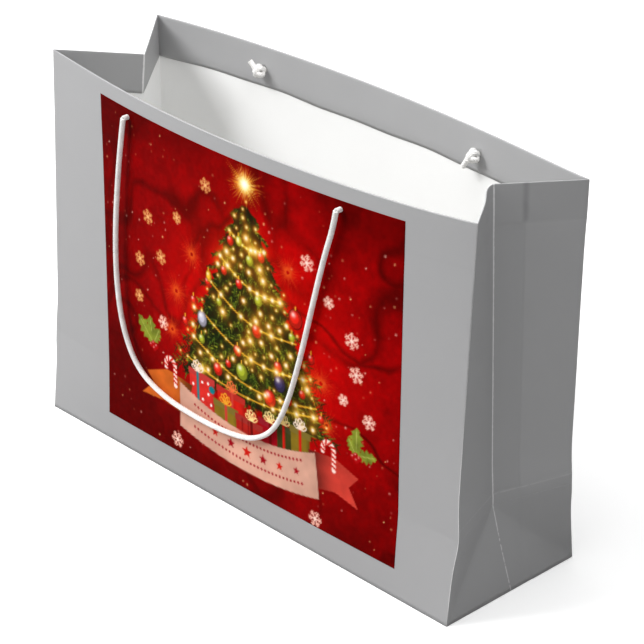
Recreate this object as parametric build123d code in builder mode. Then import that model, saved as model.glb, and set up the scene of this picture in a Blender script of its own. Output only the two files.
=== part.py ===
"""A landscape paper gift bag with two rope handles, as the separate pieces it is glued and folded from.

Frame: the origin is the middle of the underside, +X runs along the wide front from left to right,
+Y runs from the front to the back, and +Z is up. All sizes are in millimetres.

The sheet is cut at its creases into panels. The base stands square, the two walls fold on the
crease above it, and each gusset is two halves that fold on the corners of the walls.
"""

from build123d import *
from math import cos
from math import hypot
from math import pi
from math import radians
from math import sin
from math import tan
import os

# ---------------------------------------------------------------- driving sizes

# The erected bag
bag_width = 330.0  # across the front, from corner to corner
bag_depth = 100.0  # from front to back at the base
bag_height = 228.0  # from the floor to the mouth
crease_height = 50.0  # the crease that the walls and gussets fold on

# The sheet and the cards glued to it
paper = 0.3
glue_gap = 0.1  # between layers that are glued on each other
crease_gap = 0.6  # on each side of a crease between two panels
strip_card = 0.8  # the stiffening strips behind the hems
board_card = 1.2  # the loose board on the bottom
board_clearance = 1.8  # between the board and the walls around it

# How far the corners stand in from the square base, and how far the walls bow out between them
crease_inset = 6.0
crease_bow = 7.0
front_inset = 13.5
front_bow = 18.0
back_inset = 6.5
back_bow = 13.0

# The V-folded sides
crease_fold_depth = 18.0  # how far the fold stands in at the crease
left_fold_depth = 33.0  # and at the mouth
right_fold_depth = 28.0
fold_clearance = 5.0  # from each half gusset to the fold between them
corner_clearance = 1.0  # from a half gusset to the corner that it turns on
apex_height = 46.5  # the top of the triangle below the fold

# Hems around the mouth
hem_height = 25.0
strip_height = 24.0
hem_end_margin = 6.0  # from the end of a wall's hem to the corner
tab_width = 20.0  # the glued seam in the right gusset
tab_from_corner = 13.0

# Bottom flaps
long_flap_depth = 65.0
short_flap_depth = 52.0
flap_chamfer = 12.0

# Handles
cord_diameter = 3.2
hole_clearance = 0.3
hole_spacing = 168.0
hole_drop = 14.0  # from the mouth down to the holes
handle_clearance = 0.4  # between a hanging handle and the wall
elbow_gap = 0.15  # between the round end of a cord and the handle that turns on it
knot_diameter = 10.0
knot_clearance = 0.3
tail_length = 14.0  # from the middle of a knot to the end of its tail

# The route of each hanging handle, as (x, z) between its two holes
front_route = [
    (-88.5, 178.0),
    (-95.0, 141.0),
    (-97.0, 109.0),
    (-93.0, 82.0),
    (-80.0, 60.5),
    (-58.0, 51.0),
    (-33.0, 48.5),
    (-7.0, 50.0),
    (15.0, 54.0),
    (31.0, 66.5),
    (42.0, 88.0),
    (51.0, 117.0),
    (60.5, 150.0),
    (71.0, 184.0),
]
back_route = [
    (-85.5, 179.0),
    (-84.0, 143.0),
    (-79.0, 110.0),
    (-69.0, 81.0),
    (-51.0, 60.0),
    (-27.0, 49.5),
    (0.0, 47.0),
    (26.0, 50.5),
    (49.0, 61.0),
    (67.0, 80.5),
    (78.0, 108.0),
    (84.5, 141.0),
    (86.0, 178.0),
]

# ---------------------------------------------------------------- names for the sides

FRONT = -1
BACK = 1
LEFT = -1
RIGHT = 1
wall_names = {FRONT: "front", BACK: "back"}
hand_names = {LEFT: "left", RIGHT: "right"}

# ---------------------------------------------------------------- worked-out sizes

half_width = bag_width / 2
half_depth = bag_depth / 2
hole_height = bag_height - hole_drop
cord_radius = cord_diameter / 2
inset = {FRONT: front_inset, BACK: back_inset}
bow = {FRONT: front_bow, BACK: back_bow}
fold_depth = {LEFT: left_fold_depth, RIGHT: right_fold_depth}
strip_face = paper + glue_gap  # depths behind a wall's outer face
hem_face = strip_face + strip_card + glue_gap
stack_depth = hem_face + paper
mouth_middle = (front_inset - back_inset) / 2  # the mouth stands this far behind the base's middle


def wall_at(side, z):
    """The wall's distance from the middle plane at its corners, and its bow, at height z."""
    if z <= crease_height:
        share = z / crease_height
        return half_depth - share * crease_inset, share * crease_bow
    share = (z - crease_height) / (bag_height - crease_height)
    corner = half_depth - crease_inset + share * (crease_inset - inset[side])
    return corner, crease_bow + share * (bow[side] - crease_bow)


def wall_y(side, x, z):
    """The wall's outer face, as a distance from the middle plane."""
    corner, out = wall_at(side, z)
    return corner + out * (1 - (x / half_width) ** 2)


def bow_points(side, z, behind, half_length):
    """The three points of the curve that lies this far behind a wall's outer face."""
    middle = wall_y(side, 0, z) - behind
    end = wall_y(side, half_length, z) - behind
    return [
        (-half_length, side * end),
        (0, side * (2 * middle - end)),
        (half_length, side * end),
    ]


def bowed_sheet(side, low, high, face, thickness, half_length):
    """A bowed sheet between two heights, with its outer face this far behind the wall's."""
    with BuildPart() as sheet:
        for z in (low, high):
            outer = bow_points(side, z, face, half_length)
            inner = bow_points(side, z, face + thickness, half_length)
            with BuildSketch(Plane.XY.offset(z)):
                with BuildLine():
                    Bezier(*outer)
                    Line(outer[2], inner[2])
                    Bezier(*inner)
                    Line(inner[0], outer[0])
                make_face()
        loft(ruled=True)
    return sheet


def corner_at(side, hand, z):
    """The corner of a wall that a half gusset turns on, as (x, y)."""
    return hand * half_width, side * (wall_at(side, z)[0] - paper)


def fold_at(hand, z):
    """The fold in the middle of a gusset, as (x, y)."""
    share = (z - crease_height) / (bag_height - crease_height)
    depth = crease_fold_depth + share * (fold_depth[hand] - crease_fold_depth)
    return hand * (half_width - depth), share * mouth_middle


def gusset_sheet(side, hand, low, high, start, stop, face, thickness):
    """A twisted sheet on a half gusset. Start and stop are distances from the corner and from the
    fold, and face is the distance towards the inside from the line between the two."""
    with BuildPart() as sheet:
        for z in (low, high):
            corner = Vector(*corner_at(side, hand, z))
            fold = Vector(*fold_at(hand, z))
            along = (fold - corner).normalized()
            inside = Vector(-along.Y, along.X) * (-side * hand)
            a = corner + along * start
            b = fold - along * stop
            with BuildSketch(Plane.XY.offset(z)):
                with BuildLine():
                    Polyline(
                        a + inside * face,
                        b + inside * face,
                        b + inside * (face + thickness),
                        a + inside * (face + thickness),
                        close=True,
                    )
                make_face()
        loft(ruled=True)
    return sheet


def facet(corners, gap):
    """A flat three-cornered panel, with its outer face through three points and its edges drawn in
    by a crease's gap."""
    origin, second, third = [Vector(*corner) for corner in corners]
    outward = (second - origin).cross(third - origin)
    face = Plane(origin=origin, x_dir=second - origin, z_dir=outward)
    with BuildPart() as panel:
        with BuildSketch(face):
            with BuildLine():
                Polyline(*[face.to_local_coords(Vector(*corner)) for corner in corners], close=True)
            make_face()
            offset(amount=-gap, kind=Kind.INTERSECTION, mode=Mode.REPLACE)
        extrude(amount=-paper)
    return panel


def finish(piece, name):
    """Labels a finished piece and writes it."""
    piece.part.label = name
    export_step(piece.part, f"parts/{name}.step")


os.makedirs("parts", exist_ok=True)

# ---------------------------------------------------------------- bottom

# The front flap lies on the back one, the short side flaps lie on both, and the board on them all.
back_flap_low = 0.0
front_flap_low = back_flap_low + paper
side_flap_low = front_flap_low + paper
board_low = side_flap_low + paper
flap_half_width = half_width - board_clearance
flap_half_depth = half_depth - board_clearance

with BuildPart() as bottom_flap_back:
    with BuildSketch(Plane.XY.offset(back_flap_low)):
        with Locations((0, flap_half_depth)):
            Rectangle(2 * flap_half_width, long_flap_depth, align=(Align.CENTER, Align.MAX))
    extrude(amount=paper)
    free_edges = bottom_flap_back.edges().filter_by(Axis.Z).group_by(Axis.Y)[0]
    chamfer(free_edges, length=flap_chamfer)
finish(bottom_flap_back, "bottom_flap_back")

with BuildPart() as bottom_flap_front:
    with BuildSketch(Plane.XY.offset(front_flap_low)):
        with Locations((0, -flap_half_depth)):
            Rectangle(2 * flap_half_width, long_flap_depth, align=(Align.CENTER, Align.MIN))
    extrude(amount=paper)
    free_edges = bottom_flap_front.edges().filter_by(Axis.Z).group_by(Axis.Y)[-1]
    chamfer(free_edges, length=flap_chamfer)
finish(bottom_flap_front, "bottom_flap_front")

for hand in (LEFT, RIGHT):
    with BuildPart() as bottom_flap_side:
        with BuildSketch(Plane.XY.offset(side_flap_low)):
            with Locations((hand * (flap_half_width - short_flap_depth / 2), 0)):
                Rectangle(short_flap_depth, 2 * flap_half_depth)
        extrude(amount=paper)
        inner_edge = 0 if hand == RIGHT else -1
        free_edges = bottom_flap_side.edges().filter_by(Axis.Z).group_by(Axis.X)[inner_edge]
        chamfer(free_edges, length=flap_chamfer)
    finish(bottom_flap_side, f"bottom_flap_{hand_names[hand]}")

with BuildPart() as base_board:
    with BuildSketch(Plane.XY.offset(board_low)):
        Rectangle(bag_width - 2 * board_clearance, bag_depth - 2 * board_clearance)
    extrude(amount=board_card)
finish(base_board, "base_board")

# ---------------------------------------------------------------- panels below the crease

band_half_width = half_width - crease_gap
for side in (FRONT, BACK):
    lower_band = bowed_sheet(side, 0.0, crease_height - crease_gap, 0.0, paper, band_half_width)
    finish(lower_band, f"{wall_names[side]}_lower_band")

for hand in (LEFT, RIGHT):
    apex = (hand * (half_width - crease_fold_depth), 0.0, apex_height)
    foot_front = (hand * half_width, -half_depth, 0.0)
    foot_back = (hand * half_width, half_depth, 0.0)
    triangle = [foot_front, foot_back, apex] if hand == RIGHT else [foot_back, foot_front, apex]
    finish(facet(triangle, crease_gap), f"{hand_names[hand]}_side_triangle")
    for side in (FRONT, BACK):
        foot = foot_front if side == FRONT else foot_back
        shoulder = (hand * half_width, side * (half_depth - crease_inset), crease_height)
        order = [foot, apex, shoulder] if side * hand < 0 else [foot, shoulder, apex]
        corner_facet = facet(order, crease_gap)
        finish(corner_facet, f"{hand_names[hand]}_{wall_names[side]}_corner_facet")

# ---------------------------------------------------------------- walls, stiffeners and hems

panel_low = crease_height + crease_gap
hem_low = bag_height - hem_height
strip_high = bag_height - paper - 2 * glue_gap  # inside the fold of the hem
strip_low = strip_high - strip_height
hem_half_length = half_width - hem_end_margin
cord_hole_radius = cord_radius + hole_clearance

for side in (FRONT, BACK):
    layers = {
        "wall": bowed_sheet(side, panel_low, bag_height, 0.0, paper, half_width),
        "stiffener": bowed_sheet(
            side, strip_low, strip_high, strip_face, strip_card, hem_half_length
        ),
        "hem": bowed_sheet(side, hem_low, bag_height, hem_face, paper, hem_half_length),
    }
    for layer_name, layer in layers.items():
        with BuildPart() as punched:
            add(layer)
            with BuildSketch(Plane.XZ):
                with Locations((0, hole_height)):
                    with GridLocations(hole_spacing, 1, 2, 1):
                        Circle(cord_hole_radius)
            extrude(amount=-side * bag_depth, mode=Mode.SUBTRACT)
        finish(punched, f"{wall_names[side]}_{layer_name}")

# ---------------------------------------------------------------- gussets

for hand in (LEFT, RIGHT):
    for side in (FRONT, BACK):
        name = f"{hand_names[hand]}_gusset_{wall_names[side]}"
        gusset = gusset_sheet(
            side, hand, panel_low, bag_height, corner_clearance, fold_clearance, -paper / 2, paper
        )
        finish(gusset, name)
        inner_face = paper / 2 + glue_gap
        gusset_hem = gusset_sheet(
            side, hand, hem_low, bag_height, hem_end_margin / 2, fold_clearance, inner_face, paper
        )
        finish(gusset_hem, f"{name}_hem")

tab_low = panel_low + crease_gap
tab_high = hem_low - crease_gap
gusset_width = hypot(
    fold_at(RIGHT, tab_high)[0] - corner_at(BACK, RIGHT, tab_high)[0],
    fold_at(RIGHT, tab_high)[1] - corner_at(BACK, RIGHT, tab_high)[1],
)
tab_stop = gusset_width - tab_from_corner - tab_width
seam_tab = gusset_sheet(
    BACK, RIGHT, tab_low, tab_high, tab_from_corner, tab_stop, paper / 2 + glue_gap, paper
)
finish(seam_tab, "seam_tab")

# ---------------------------------------------------------------- handles and knots


def handle_plane(side, route):
    """How far from the middle plane a handle hangs, so that it clears the bowed wall."""
    places = [*route, (hole_spacing / 2, hole_height)]
    widest = max(wall_y(side, x, z) for x, z in places)
    return widest + handle_clearance + cord_radius


def bend_radii(points):
    """The radius of each bend: 0.45 of its shorter run, divided by the tangent of half its turn."""
    radii = []
    for before, here, after in zip(points, points[1:], points[2:]):
        arriving = Vector(*here) - Vector(*before)
        leaving = Vector(*after) - Vector(*here)
        half_turn = radians(arriving.get_angle(leaving)) / 2
        radii.append(0.45 * min(arriving.length, leaving.length) / tan(half_turn))
    return radii


for side, route in ((FRONT, front_route), (BACK, back_route)):
    y = side * handle_plane(side, route)
    end_height = hole_height - cord_radius - elbow_gap
    ends = [(-hole_spacing / 2, end_height), (hole_spacing / 2, end_height)]
    points = [(x, y, z) for x, z in [ends[0], *route, ends[1]]]
    radii = bend_radii(points)
    with BuildPart() as handle:
        with BuildLine() as cord_path:
            FilletPolyline(*points, radius=radii)
        with BuildSketch(Plane(origin=cord_path.line @ 0, z_dir=cord_path.line % 0)):
            Circle(cord_radius)
        sweep()
    finish(handle, f"{wall_names[side]}_handle")
    length = sum(edge.length for edge in cord_path.edges())
    section = pi * cord_radius**2
    print(f"{wall_names[side]} handle: {length:.1f} mm long, tightest bend {min(radii):.1f} mm")
    print("  radii", [round(radius, 1) for radius in radii])
    print(f"  volume {handle.part.volume:.0f}, section times length {section * length:.0f} mm3")

    for hand in (LEFT, RIGHT):
        x = hand * hole_spacing / 2
        hem_inside = wall_y(side, x, hole_height) - stack_depth
        knot_y = side * (hem_inside - knot_clearance - knot_diameter / 2)
        tail_lift = 35.0 if hand == LEFT else -30.0
        tail_turn = 25.0
        tail_way = Vector(
            -cos(radians(tail_lift)) * cos(radians(tail_turn)),
            -side * cos(radians(tail_lift)) * sin(radians(tail_turn)),
            sin(radians(tail_lift)),
        )
        knot_middle = Vector(x, knot_y, hole_height)
        with BuildPart() as knot:
            with Locations(knot_middle):
                Sphere(knot_diameter / 2)
            with BuildSketch(Plane(origin=knot_middle, z_dir=(0, side, 0))):
                Circle(cord_radius)
            extrude(amount=abs(y) - abs(knot_y))
            with Locations((x, y, hole_height)):
                Sphere(cord_radius)
            with BuildSketch(Plane(origin=knot_middle, z_dir=tail_way)):
                Circle(cord_radius)
            extrude(amount=tail_length)
        finish(knot, f"{wall_names[side]}_{hand_names[hand]}_knot")
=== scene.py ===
"""The looks of a landscape paper gift bag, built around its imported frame.

The bag is one coated sheet. FlatSheet turns a place on the flat sheet into a place on the standing bag,
and every paper piece, fold and printed shape is made through it, so that they all meet.
"""

import logging
import math
from dataclasses import dataclass
from dataclasses import field
from enum import Enum
from typing import Callable
from typing import Sequence

import bpy
import numpy as np
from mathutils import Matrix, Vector


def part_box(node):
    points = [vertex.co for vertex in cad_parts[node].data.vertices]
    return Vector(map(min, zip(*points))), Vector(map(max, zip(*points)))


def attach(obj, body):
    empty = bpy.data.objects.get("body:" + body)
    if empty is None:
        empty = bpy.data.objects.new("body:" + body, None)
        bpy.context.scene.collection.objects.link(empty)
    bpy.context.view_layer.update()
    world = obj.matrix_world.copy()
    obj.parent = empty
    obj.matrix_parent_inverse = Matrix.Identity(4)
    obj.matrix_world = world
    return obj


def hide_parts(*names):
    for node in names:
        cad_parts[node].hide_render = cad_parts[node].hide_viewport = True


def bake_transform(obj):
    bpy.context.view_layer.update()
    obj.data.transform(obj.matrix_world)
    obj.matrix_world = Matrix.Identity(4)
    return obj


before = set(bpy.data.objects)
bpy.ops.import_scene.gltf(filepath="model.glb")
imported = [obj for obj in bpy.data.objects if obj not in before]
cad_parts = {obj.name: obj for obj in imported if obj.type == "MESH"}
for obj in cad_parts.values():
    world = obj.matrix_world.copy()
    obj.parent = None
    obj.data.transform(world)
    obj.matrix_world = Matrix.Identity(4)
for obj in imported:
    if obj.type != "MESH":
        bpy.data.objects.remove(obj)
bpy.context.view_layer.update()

log = logging.getLogger("gift_bag")
MM = 0.001
Colour = tuple[float, float, float]


class Side(Enum):
    """The front or the back of the bag, with its sign along Y."""

    FRONT = -1
    BACK = 1


class Hand(Enum):
    """The left or the right of the bag, with its sign along X."""

    LEFT = -1
    RIGHT = 1


WALL_NAME = {Side.FRONT: "front", Side.BACK: "back"}
HAND_NAME = {Hand.LEFT: "left", Hand.RIGHT: "right"}


# ---------------------------------------------------------------- helpers for meshes and nodes


def to_linear(shares: np.ndarray) -> np.ndarray:
    """The linear values of sRGB channels.

    Args:
        shares: the channels, from 0 to 1.

    Returns:
        Their linear values, from 0 to 1.
    """
    return np.where(shares <= 0.04045, shares / 12.92, ((shares + 0.055) / 1.055) ** 2.4)


def rgb(red: float, green: float, blue: float) -> Colour:
    """A linear colour from three sRGB channels.

    Args:
        red: from 0 to 255.
        green: from 0 to 255.
        blue: from 0 to 255.

    Returns:
        The linear colour.
    """
    return tuple(to_linear(np.array([red, green, blue]) / 255).tolist())


def mesh_object(
    name: str,
    points: np.ndarray,
    faces: Sequence[Sequence[int]],
    materials: Sequence[bpy.types.Material],
    slots: Sequence[int] | None = None,
    uvs: np.ndarray | None = None,
) -> bpy.types.Object:
    """Makes a smooth mesh object at the origin.

    Args:
        name: the piece's name.
        points: one row of three metres for each vertex.
        faces: the vertex numbers of each face.
        materials: the piece's materials.
        slots: the material number of each face.
        uvs: one row of two for each vertex, kept as the map named Sheet.

    Returns:
        The object, linked to the scene.
    """
    mesh = bpy.data.meshes.new(name)
    mesh.from_pydata(points.tolist(), [], [list(face) for face in faces])
    for material in materials:
        mesh.materials.append(material)
    if slots is not None:
        mesh.polygons.foreach_set("material_index", np.asarray(slots, np.int32))
    mesh.polygons.foreach_set("use_smooth", np.full(len(faces), True))
    if uvs is not None:
        layer = mesh.uv_layers.new(name="Sheet")
        corner_vertex = np.zeros(len(mesh.loops), np.int32)
        mesh.loops.foreach_get("vertex_index", corner_vertex)
        layer.uv.foreach_set("vector", uvs[corner_vertex].astype(np.float32).ravel())
    mesh.update()
    made = bpy.data.objects.new(name, mesh)
    bpy.context.scene.collection.objects.link(made)
    return made


def closed_slab(outer: np.ndarray, inner: np.ndarray) -> tuple[np.ndarray, np.ndarray, int]:
    """Joins two grids of points into one closed slab.

    Args:
        outer: the outer grid, whose rows go up and columns go along with the outside in view.
        inner: the inner grid, of the same shape.

    Returns:
        The points, the faces with the outer ones first, and the number of outer faces.
    """
    n_rows, n_cols = outer.shape[:2]
    points = np.concatenate([outer.reshape(-1, 3), inner.reshape(-1, 3)])
    behind = n_rows * n_cols
    number = np.arange(behind).reshape(n_rows, n_cols)
    a, b = number[:-1, :-1].ravel(), number[:-1, 1:].ravel()
    c, d = number[1:, 1:].ravel(), number[1:, :-1].ravel()
    outside = np.stack([a, b, c, d], 1)
    inside = np.stack([a, d, c, b], 1) + behind
    rim = np.concatenate([number[0], number[1:, -1], number[-1, -2::-1], number[-2:0:-1, 0]])
    ahead = np.roll(rim, -1)
    edge = np.stack([rim, rim + behind, ahead + behind, ahead], 1)
    return points, np.concatenate([outside, inside, edge]), len(outside)


def plain_mesh(source: bpy.types.Object, name: str) -> bpy.types.Object:
    """Turns an object with modifiers into a plain mesh object, and removes the first one.

    Args:
        source: the object whose evaluated mesh is kept.
        name: the new object's name.

    Returns:
        The new object, with no modifiers.
    """
    graph = bpy.context.evaluated_depsgraph_get()
    mesh = bpy.data.meshes.new_from_object(source.evaluated_get(graph))
    bpy.data.objects.remove(source)
    mesh.name = name
    made = bpy.data.objects.new(name, mesh)
    bpy.context.scene.collection.objects.link(made)
    return made


class Wiring:
    """Adds nodes to a tree and joins them, in a few words."""

    def __init__(self, tree: bpy.types.NodeTree) -> None:
        """Keeps the tree that nodes are added to."""
        self.tree = tree

    def add(self, kind: str, inputs: dict | None = None, **settings: object) -> bpy.types.Node:
        """Adds a node.

        Args:
            kind: the node's type.
            inputs: a value or a socket for each named or numbered input.
            settings: the node's own properties.

        Returns:
            The node.
        """
        node = self.tree.nodes.new(kind)
        for key, value in settings.items():
            setattr(node, key, value)
        for key, value in (inputs or {}).items():
            if isinstance(value, bpy.types.NodeSocket):
                self.tree.links.new(value, node.inputs[key])
            else:
                node.inputs[key].default_value = value
        return node

    def math(self, operation: str, *values: object) -> bpy.types.NodeSocket:
        """A Math node of the given operation on numbers or sockets, as its output."""
        return self.add("ShaderNodeMath", dict(enumerate(values)), operation=operation).outputs[0]

    def mix(self, factor: object, low: object, high: object) -> bpy.types.NodeSocket:
        """A mix of two colours, as its output."""
        node = self.add("ShaderNodeMix", {0: factor, 6: low, 7: high}, data_type="RGBA")
        return node.outputs[2]

    def noise(self, place: object, scale: object, detail: float) -> bpy.types.NodeSocket:
        """Noise at a place, as its value."""
        node = self.add("ShaderNodeTexNoise", {"Vector": place, "Scale": scale, "Detail": detail})
        return node.outputs[0]

    def vector(self, operation: str, inputs: dict) -> bpy.types.NodeSocket:
        """A Vector Math node of the given operation, as its output."""
        return self.add("ShaderNodeVectorMath", inputs, operation=operation).outputs[0]

    def between(self, value: object, low: float, high: float) -> bpy.types.NodeSocket:
        """A smooth step from 0 at low to 1 at high, as its output."""
        node = self.add(
            "ShaderNodeMapRange",
            {0: value, 1: low, 2: high, 3: 0.0, 4: 1.0},
            interpolation_type="SMOOTHSTEP",
        )
        return node.outputs[0]


def shader_group(
    name: str, inputs: Sequence[tuple[str, str, object]], outputs: Sequence[tuple[str, str]]
) -> tuple[bpy.types.NodeTree, bpy.types.Node, bpy.types.Node]:
    """Starts a shader node group with named inputs and outputs.

    Args:
        name: the group's name.
        inputs: each input's name, socket type and default.
        outputs: each output's name and socket type.

    Returns:
        The group's tree, its input node and its output node.
    """
    tree = bpy.data.node_groups.new(name, "ShaderNodeTree")
    for label, kind, value in inputs:
        socket = tree.interface.new_socket(label, in_out="INPUT", socket_type=kind)
        if value is not None:
            socket.default_value = value
    for label, kind in outputs:
        tree.interface.new_socket(label, in_out="OUTPUT", socket_type=kind)
    return tree, tree.nodes.new("NodeGroupInput"), tree.nodes.new("NodeGroupOutput")


def start_material(name: str) -> tuple[bpy.types.Material, Wiring]:
    """Starts a material with no nodes.

    Args:
        name: the material's name.

    Returns:
        The material, and the wiring of its nodes.
    """
    material = bpy.data.materials.new(name)
    material.use_nodes = True
    material.node_tree.nodes.clear()
    return material, Wiring(material.node_tree)


def end_material(
    wire: Wiring, inputs: dict, height: bpy.types.NodeSocket, strength: float, depth: float
) -> None:
    """Ends a material with a bumped Principled shader and its output.

    Args:
        wire: the material's nodes.
        inputs: a value or a socket for each named input of the shader.
        height: the bump's height.
        strength: the bump's strength.
        depth: the bump's depth in metres.
    """
    bump = wire.add("ShaderNodeBump", {"Height": height, "Strength": strength, "Distance": depth})
    surface = wire.add("ShaderNodeBsdfPrincipled", {**inputs, "Normal": bump.outputs[0]})
    wire.add("ShaderNodeOutputMaterial", {0: surface.outputs[0]})


def paper_surface(
    wire: Wiring, fibre: bpy.types.Node, colour: object, grain_change: float, roughness: object
) -> dict:
    """Paper's colour and roughness, varied by its fibres.

    Args:
        wire: the material's nodes.
        fibre: the fibre group's node.
        colour: the plain colour.
        grain_change: how much the grain changes the roughness.
        roughness: the plain roughness.

    Returns:
        The shader's inputs of those names.
    """
    shade = wire.add("ShaderNodeHueSaturation", {"Value": fibre.outputs["Shade"], "Color": colour})
    grain = wire.math("SUBTRACT", fibre.outputs["Grain"], 0.5)
    rough = wire.math("MULTIPLY_ADD", grain, grain_change, roughness)
    return {"Base Color": shade.outputs[0], "Roughness": rough}


# ---------------------------------------------------------------- effects that materials share


def paper_fibre_group() -> bpy.types.NodeTree:
    """The mottle and fine tooth of paper.

    Returns:
        A group with the inputs Scale and Mottle, and the outputs Shade, Grain and Height.
    """
    tree, source, sink = shader_group(
        "Paper fibre",
        [("Scale", "NodeSocketFloat", 1.0), ("Mottle", "NodeSocketFloat", 0.04)],
        [
            ("Shade", "NodeSocketFloat"),
            ("Grain", "NodeSocketFloat"),
            ("Height", "NodeSocketFloat"),
        ],
    )
    wire = Wiring(tree)
    place = wire.add("ShaderNodeTexCoord").outputs["Object"]
    broad_scale = wire.math("MULTIPLY", source.outputs["Scale"], 22.0)
    broad = wire.noise(place, broad_scale, 3.0)
    fine_scale = wire.math("MULTIPLY", source.outputs["Scale"], 1400.0)
    fine = wire.noise(place, fine_scale, 2.0)
    swing = wire.math("MULTIPLY", wire.math("SUBTRACT", broad, 0.5), source.outputs["Mottle"])
    tree.links.new(wire.math("ADD", swing, 1.0), sink.inputs["Shade"])
    tree.links.new(fine, sink.inputs["Grain"])
    slow_waves = wire.math("MULTIPLY", broad, 0.6)
    tree.links.new(wire.math("MULTIPLY_ADD", fine, 0.08, slow_waves), sink.inputs["Height"])
    return tree


def worn_line_group() -> bpy.types.NodeTree:
    """A thin worn line where the coating has cracked along a fold.

    Returns:
        A group with the inputs Distance (metres), Width, Breaks and Strength, and the output Wear.
    """
    tree, source, sink = shader_group(
        "Worn fold",
        [
            ("Distance", "NodeSocketFloat", 1.0),
            ("Width", "NodeSocketFloat", 0.0004),
            ("Breaks", "NodeSocketFloat", 0.3),
            ("Strength", "NodeSocketFloat", 1.0),
        ],
        [("Wear", "NodeSocketFloat")],
    )
    wire = Wiring(tree)
    place = wire.add("ShaderNodeTexCoord").outputs["Object"]
    noise = wire.noise(place, 420.0, 2.0)
    reach = wire.math("MULTIPLY", source.outputs["Width"], wire.math("ADD", noise, 0.5))
    near = wire.math("SUBTRACT", 1.0, wire.math("DIVIDE", source.outputs["Distance"], reach))
    line = wire.add("ShaderNodeClamp", {0: wire.math("MULTIPLY", near, 2.0)}).outputs[0]
    kept = wire.add(
        "ShaderNodeMapRange",
        {
            0: noise,
            1: source.outputs["Breaks"],
            2: wire.math("ADD", source.outputs["Breaks"], 0.08),
            3: 0.0,
            4: 1.0,
        },
    ).outputs[0]
    wear = wire.math("MULTIPLY", wire.math("MULTIPLY", line, kept), source.outputs["Strength"])
    tree.links.new(wear, sink.inputs["Wear"])
    return tree


@dataclass(frozen=True)
class WornLine:
    """How the coating has worn along a fold: the line's width in metres, its breaks and its strength."""

    width: float
    breaks: float
    strength: float

    def mask(
        self, wire: Wiring, group: bpy.types.NodeTree, across: bpy.types.NodeSocket, fold: float
    ) -> bpy.types.NodeSocket:
        """The wear beside a fold.

        Args:
            wire: the material's nodes.
            group: the worn fold group.
            across: the place across the fold, in metres.
            fold: where the fold is.

        Returns:
            The wear, from 0 to 1.
        """
        away = wire.math("ABSOLUTE", wire.math("SUBTRACT", across, fold))
        values = {"Distance": away, "Width": self.width, "Breaks": self.breaks, "Strength": self.strength}
        return wire.add("ShaderNodeGroup", values, node_tree=group).outputs[0]


LONG_FOLD = WornLine(0.00062, 0.1, 0.95)
BROKEN_FOLD = WornLine(0.00042, 0.38, 0.75)
LEVEL_FOLD = WornLine(0.00045, 0.36, 0.13)
BUMP_DEPTH = 0.6 * MM


@dataclass(frozen=True)
class CoatedPaper:
    """The satin coating on the printed side of the sheet, with worn lines along its folds, and painted light
    and shade beside the glued seam.
    """

    name: str
    colour: Colour = rgb(168, 168, 169)
    worn: Colour = rgb(228, 228, 228)
    roughness: float = 0.5
    vertical_folds: tuple[float, ...] = ()
    broken_folds: tuple[float, ...] = ()
    broken_below: float = 0.0
    seam_at: float | None = None
    hem_at: float = 206.5 * MM
    # Painted shade: the grey that the hem is painted near the glued seam, for the shade in its pressed dent.
    dent_painted_shade: Colour = rgb(150, 150, 151)
    # Painted light: the lighter grey that the overlap beside the glued seam is painted, as if its flatter
    # paper caught more light.
    overlap_painted_light: Colour = rgb(173, 173, 174)
    level_fold: float | None = None

    def build(self, groups: dict[str, bpy.types.NodeTree]) -> bpy.types.Material:
        """Makes the material.

        Args:
            groups: the shared node groups.

        Returns:
            The material.
        """
        material, wire = start_material(self.name)
        flat = wire.add("ShaderNodeUVMap", uv_map="Sheet").outputs[0]
        along, up, _ = wire.add("ShaderNodeSeparateXYZ", {0: flat}).outputs
        fibre = wire.add("ShaderNodeGroup", node_tree=groups["fibre"])
        fibre.inputs["Mottle"].default_value = 0.05
        wear: object = 0.0
        for place in self.vertical_folds:
            worn = LONG_FOLD.mask(wire, groups["worn"], along, place)
            above = wire.between(up, self.broken_below - MM, self.broken_below + MM)
            wear = wire.math("MAXIMUM", wear, wire.math("MULTIPLY", worn, above))
        for place in self.broken_folds:
            worn = BROKEN_FOLD.mask(wire, groups["worn"], along, place)
            below = wire.between(up, self.broken_below + MM, self.broken_below - MM)
            wear = wire.math("MAXIMUM", wear, wire.math("MULTIPLY", worn, below))
        if self.level_fold is not None:
            worn = LEVEL_FOLD.mask(wire, groups["worn"], up, self.level_fold)
            wear = wire.math("MAXIMUM", wear, worn)
        ground: object = (*self.colour, 1)
        # Painted light on the overlap right of the glued seam, below the hem and above the pressed crease.
        if self.seam_at is not None:
            beside = wire.between(along, self.seam_at - 0.3 * MM, self.seam_at + 0.9 * MM)
            under_hem = wire.between(up, self.hem_at, self.hem_at - MM)
            over_crease = wire.between(up, 50 * MM, 62 * MM)
            mask = wire.math("MULTIPLY", wire.math("MULTIPLY", beside, under_hem), over_crease)
            ground = wire.mix(mask, (*self.colour, 1), (*self.overlap_painted_light, 1))
            # Painted shade in the hem within 2.8 mm of the seam, for its pressed dent.
            from_seam = wire.math("ABSOLUTE", wire.math("SUBTRACT", along, self.seam_at))
            painted_dent_shade = wire.between(from_seam, 2.8 * MM, 0.0)
            in_hem = wire.between(up, self.hem_at - MM, self.hem_at + 2 * MM)
            ground = wire.mix(wire.math("MULTIPLY", painted_dent_shade, in_hem), ground, (*self.dent_painted_shade, 1))
        base = wire.mix(wear, ground, (*self.worn, 1))
        worn_roughness = wire.math("MULTIPLY_ADD", wear, 0.3, self.roughness)
        inputs = paper_surface(wire, fibre, base, 0.12, worn_roughness)
        inputs["Specular IOR Level"] = 0.25
        end_material(wire, inputs, fibre.outputs["Height"], 0.12, BUMP_DEPTH)
        return material


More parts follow.
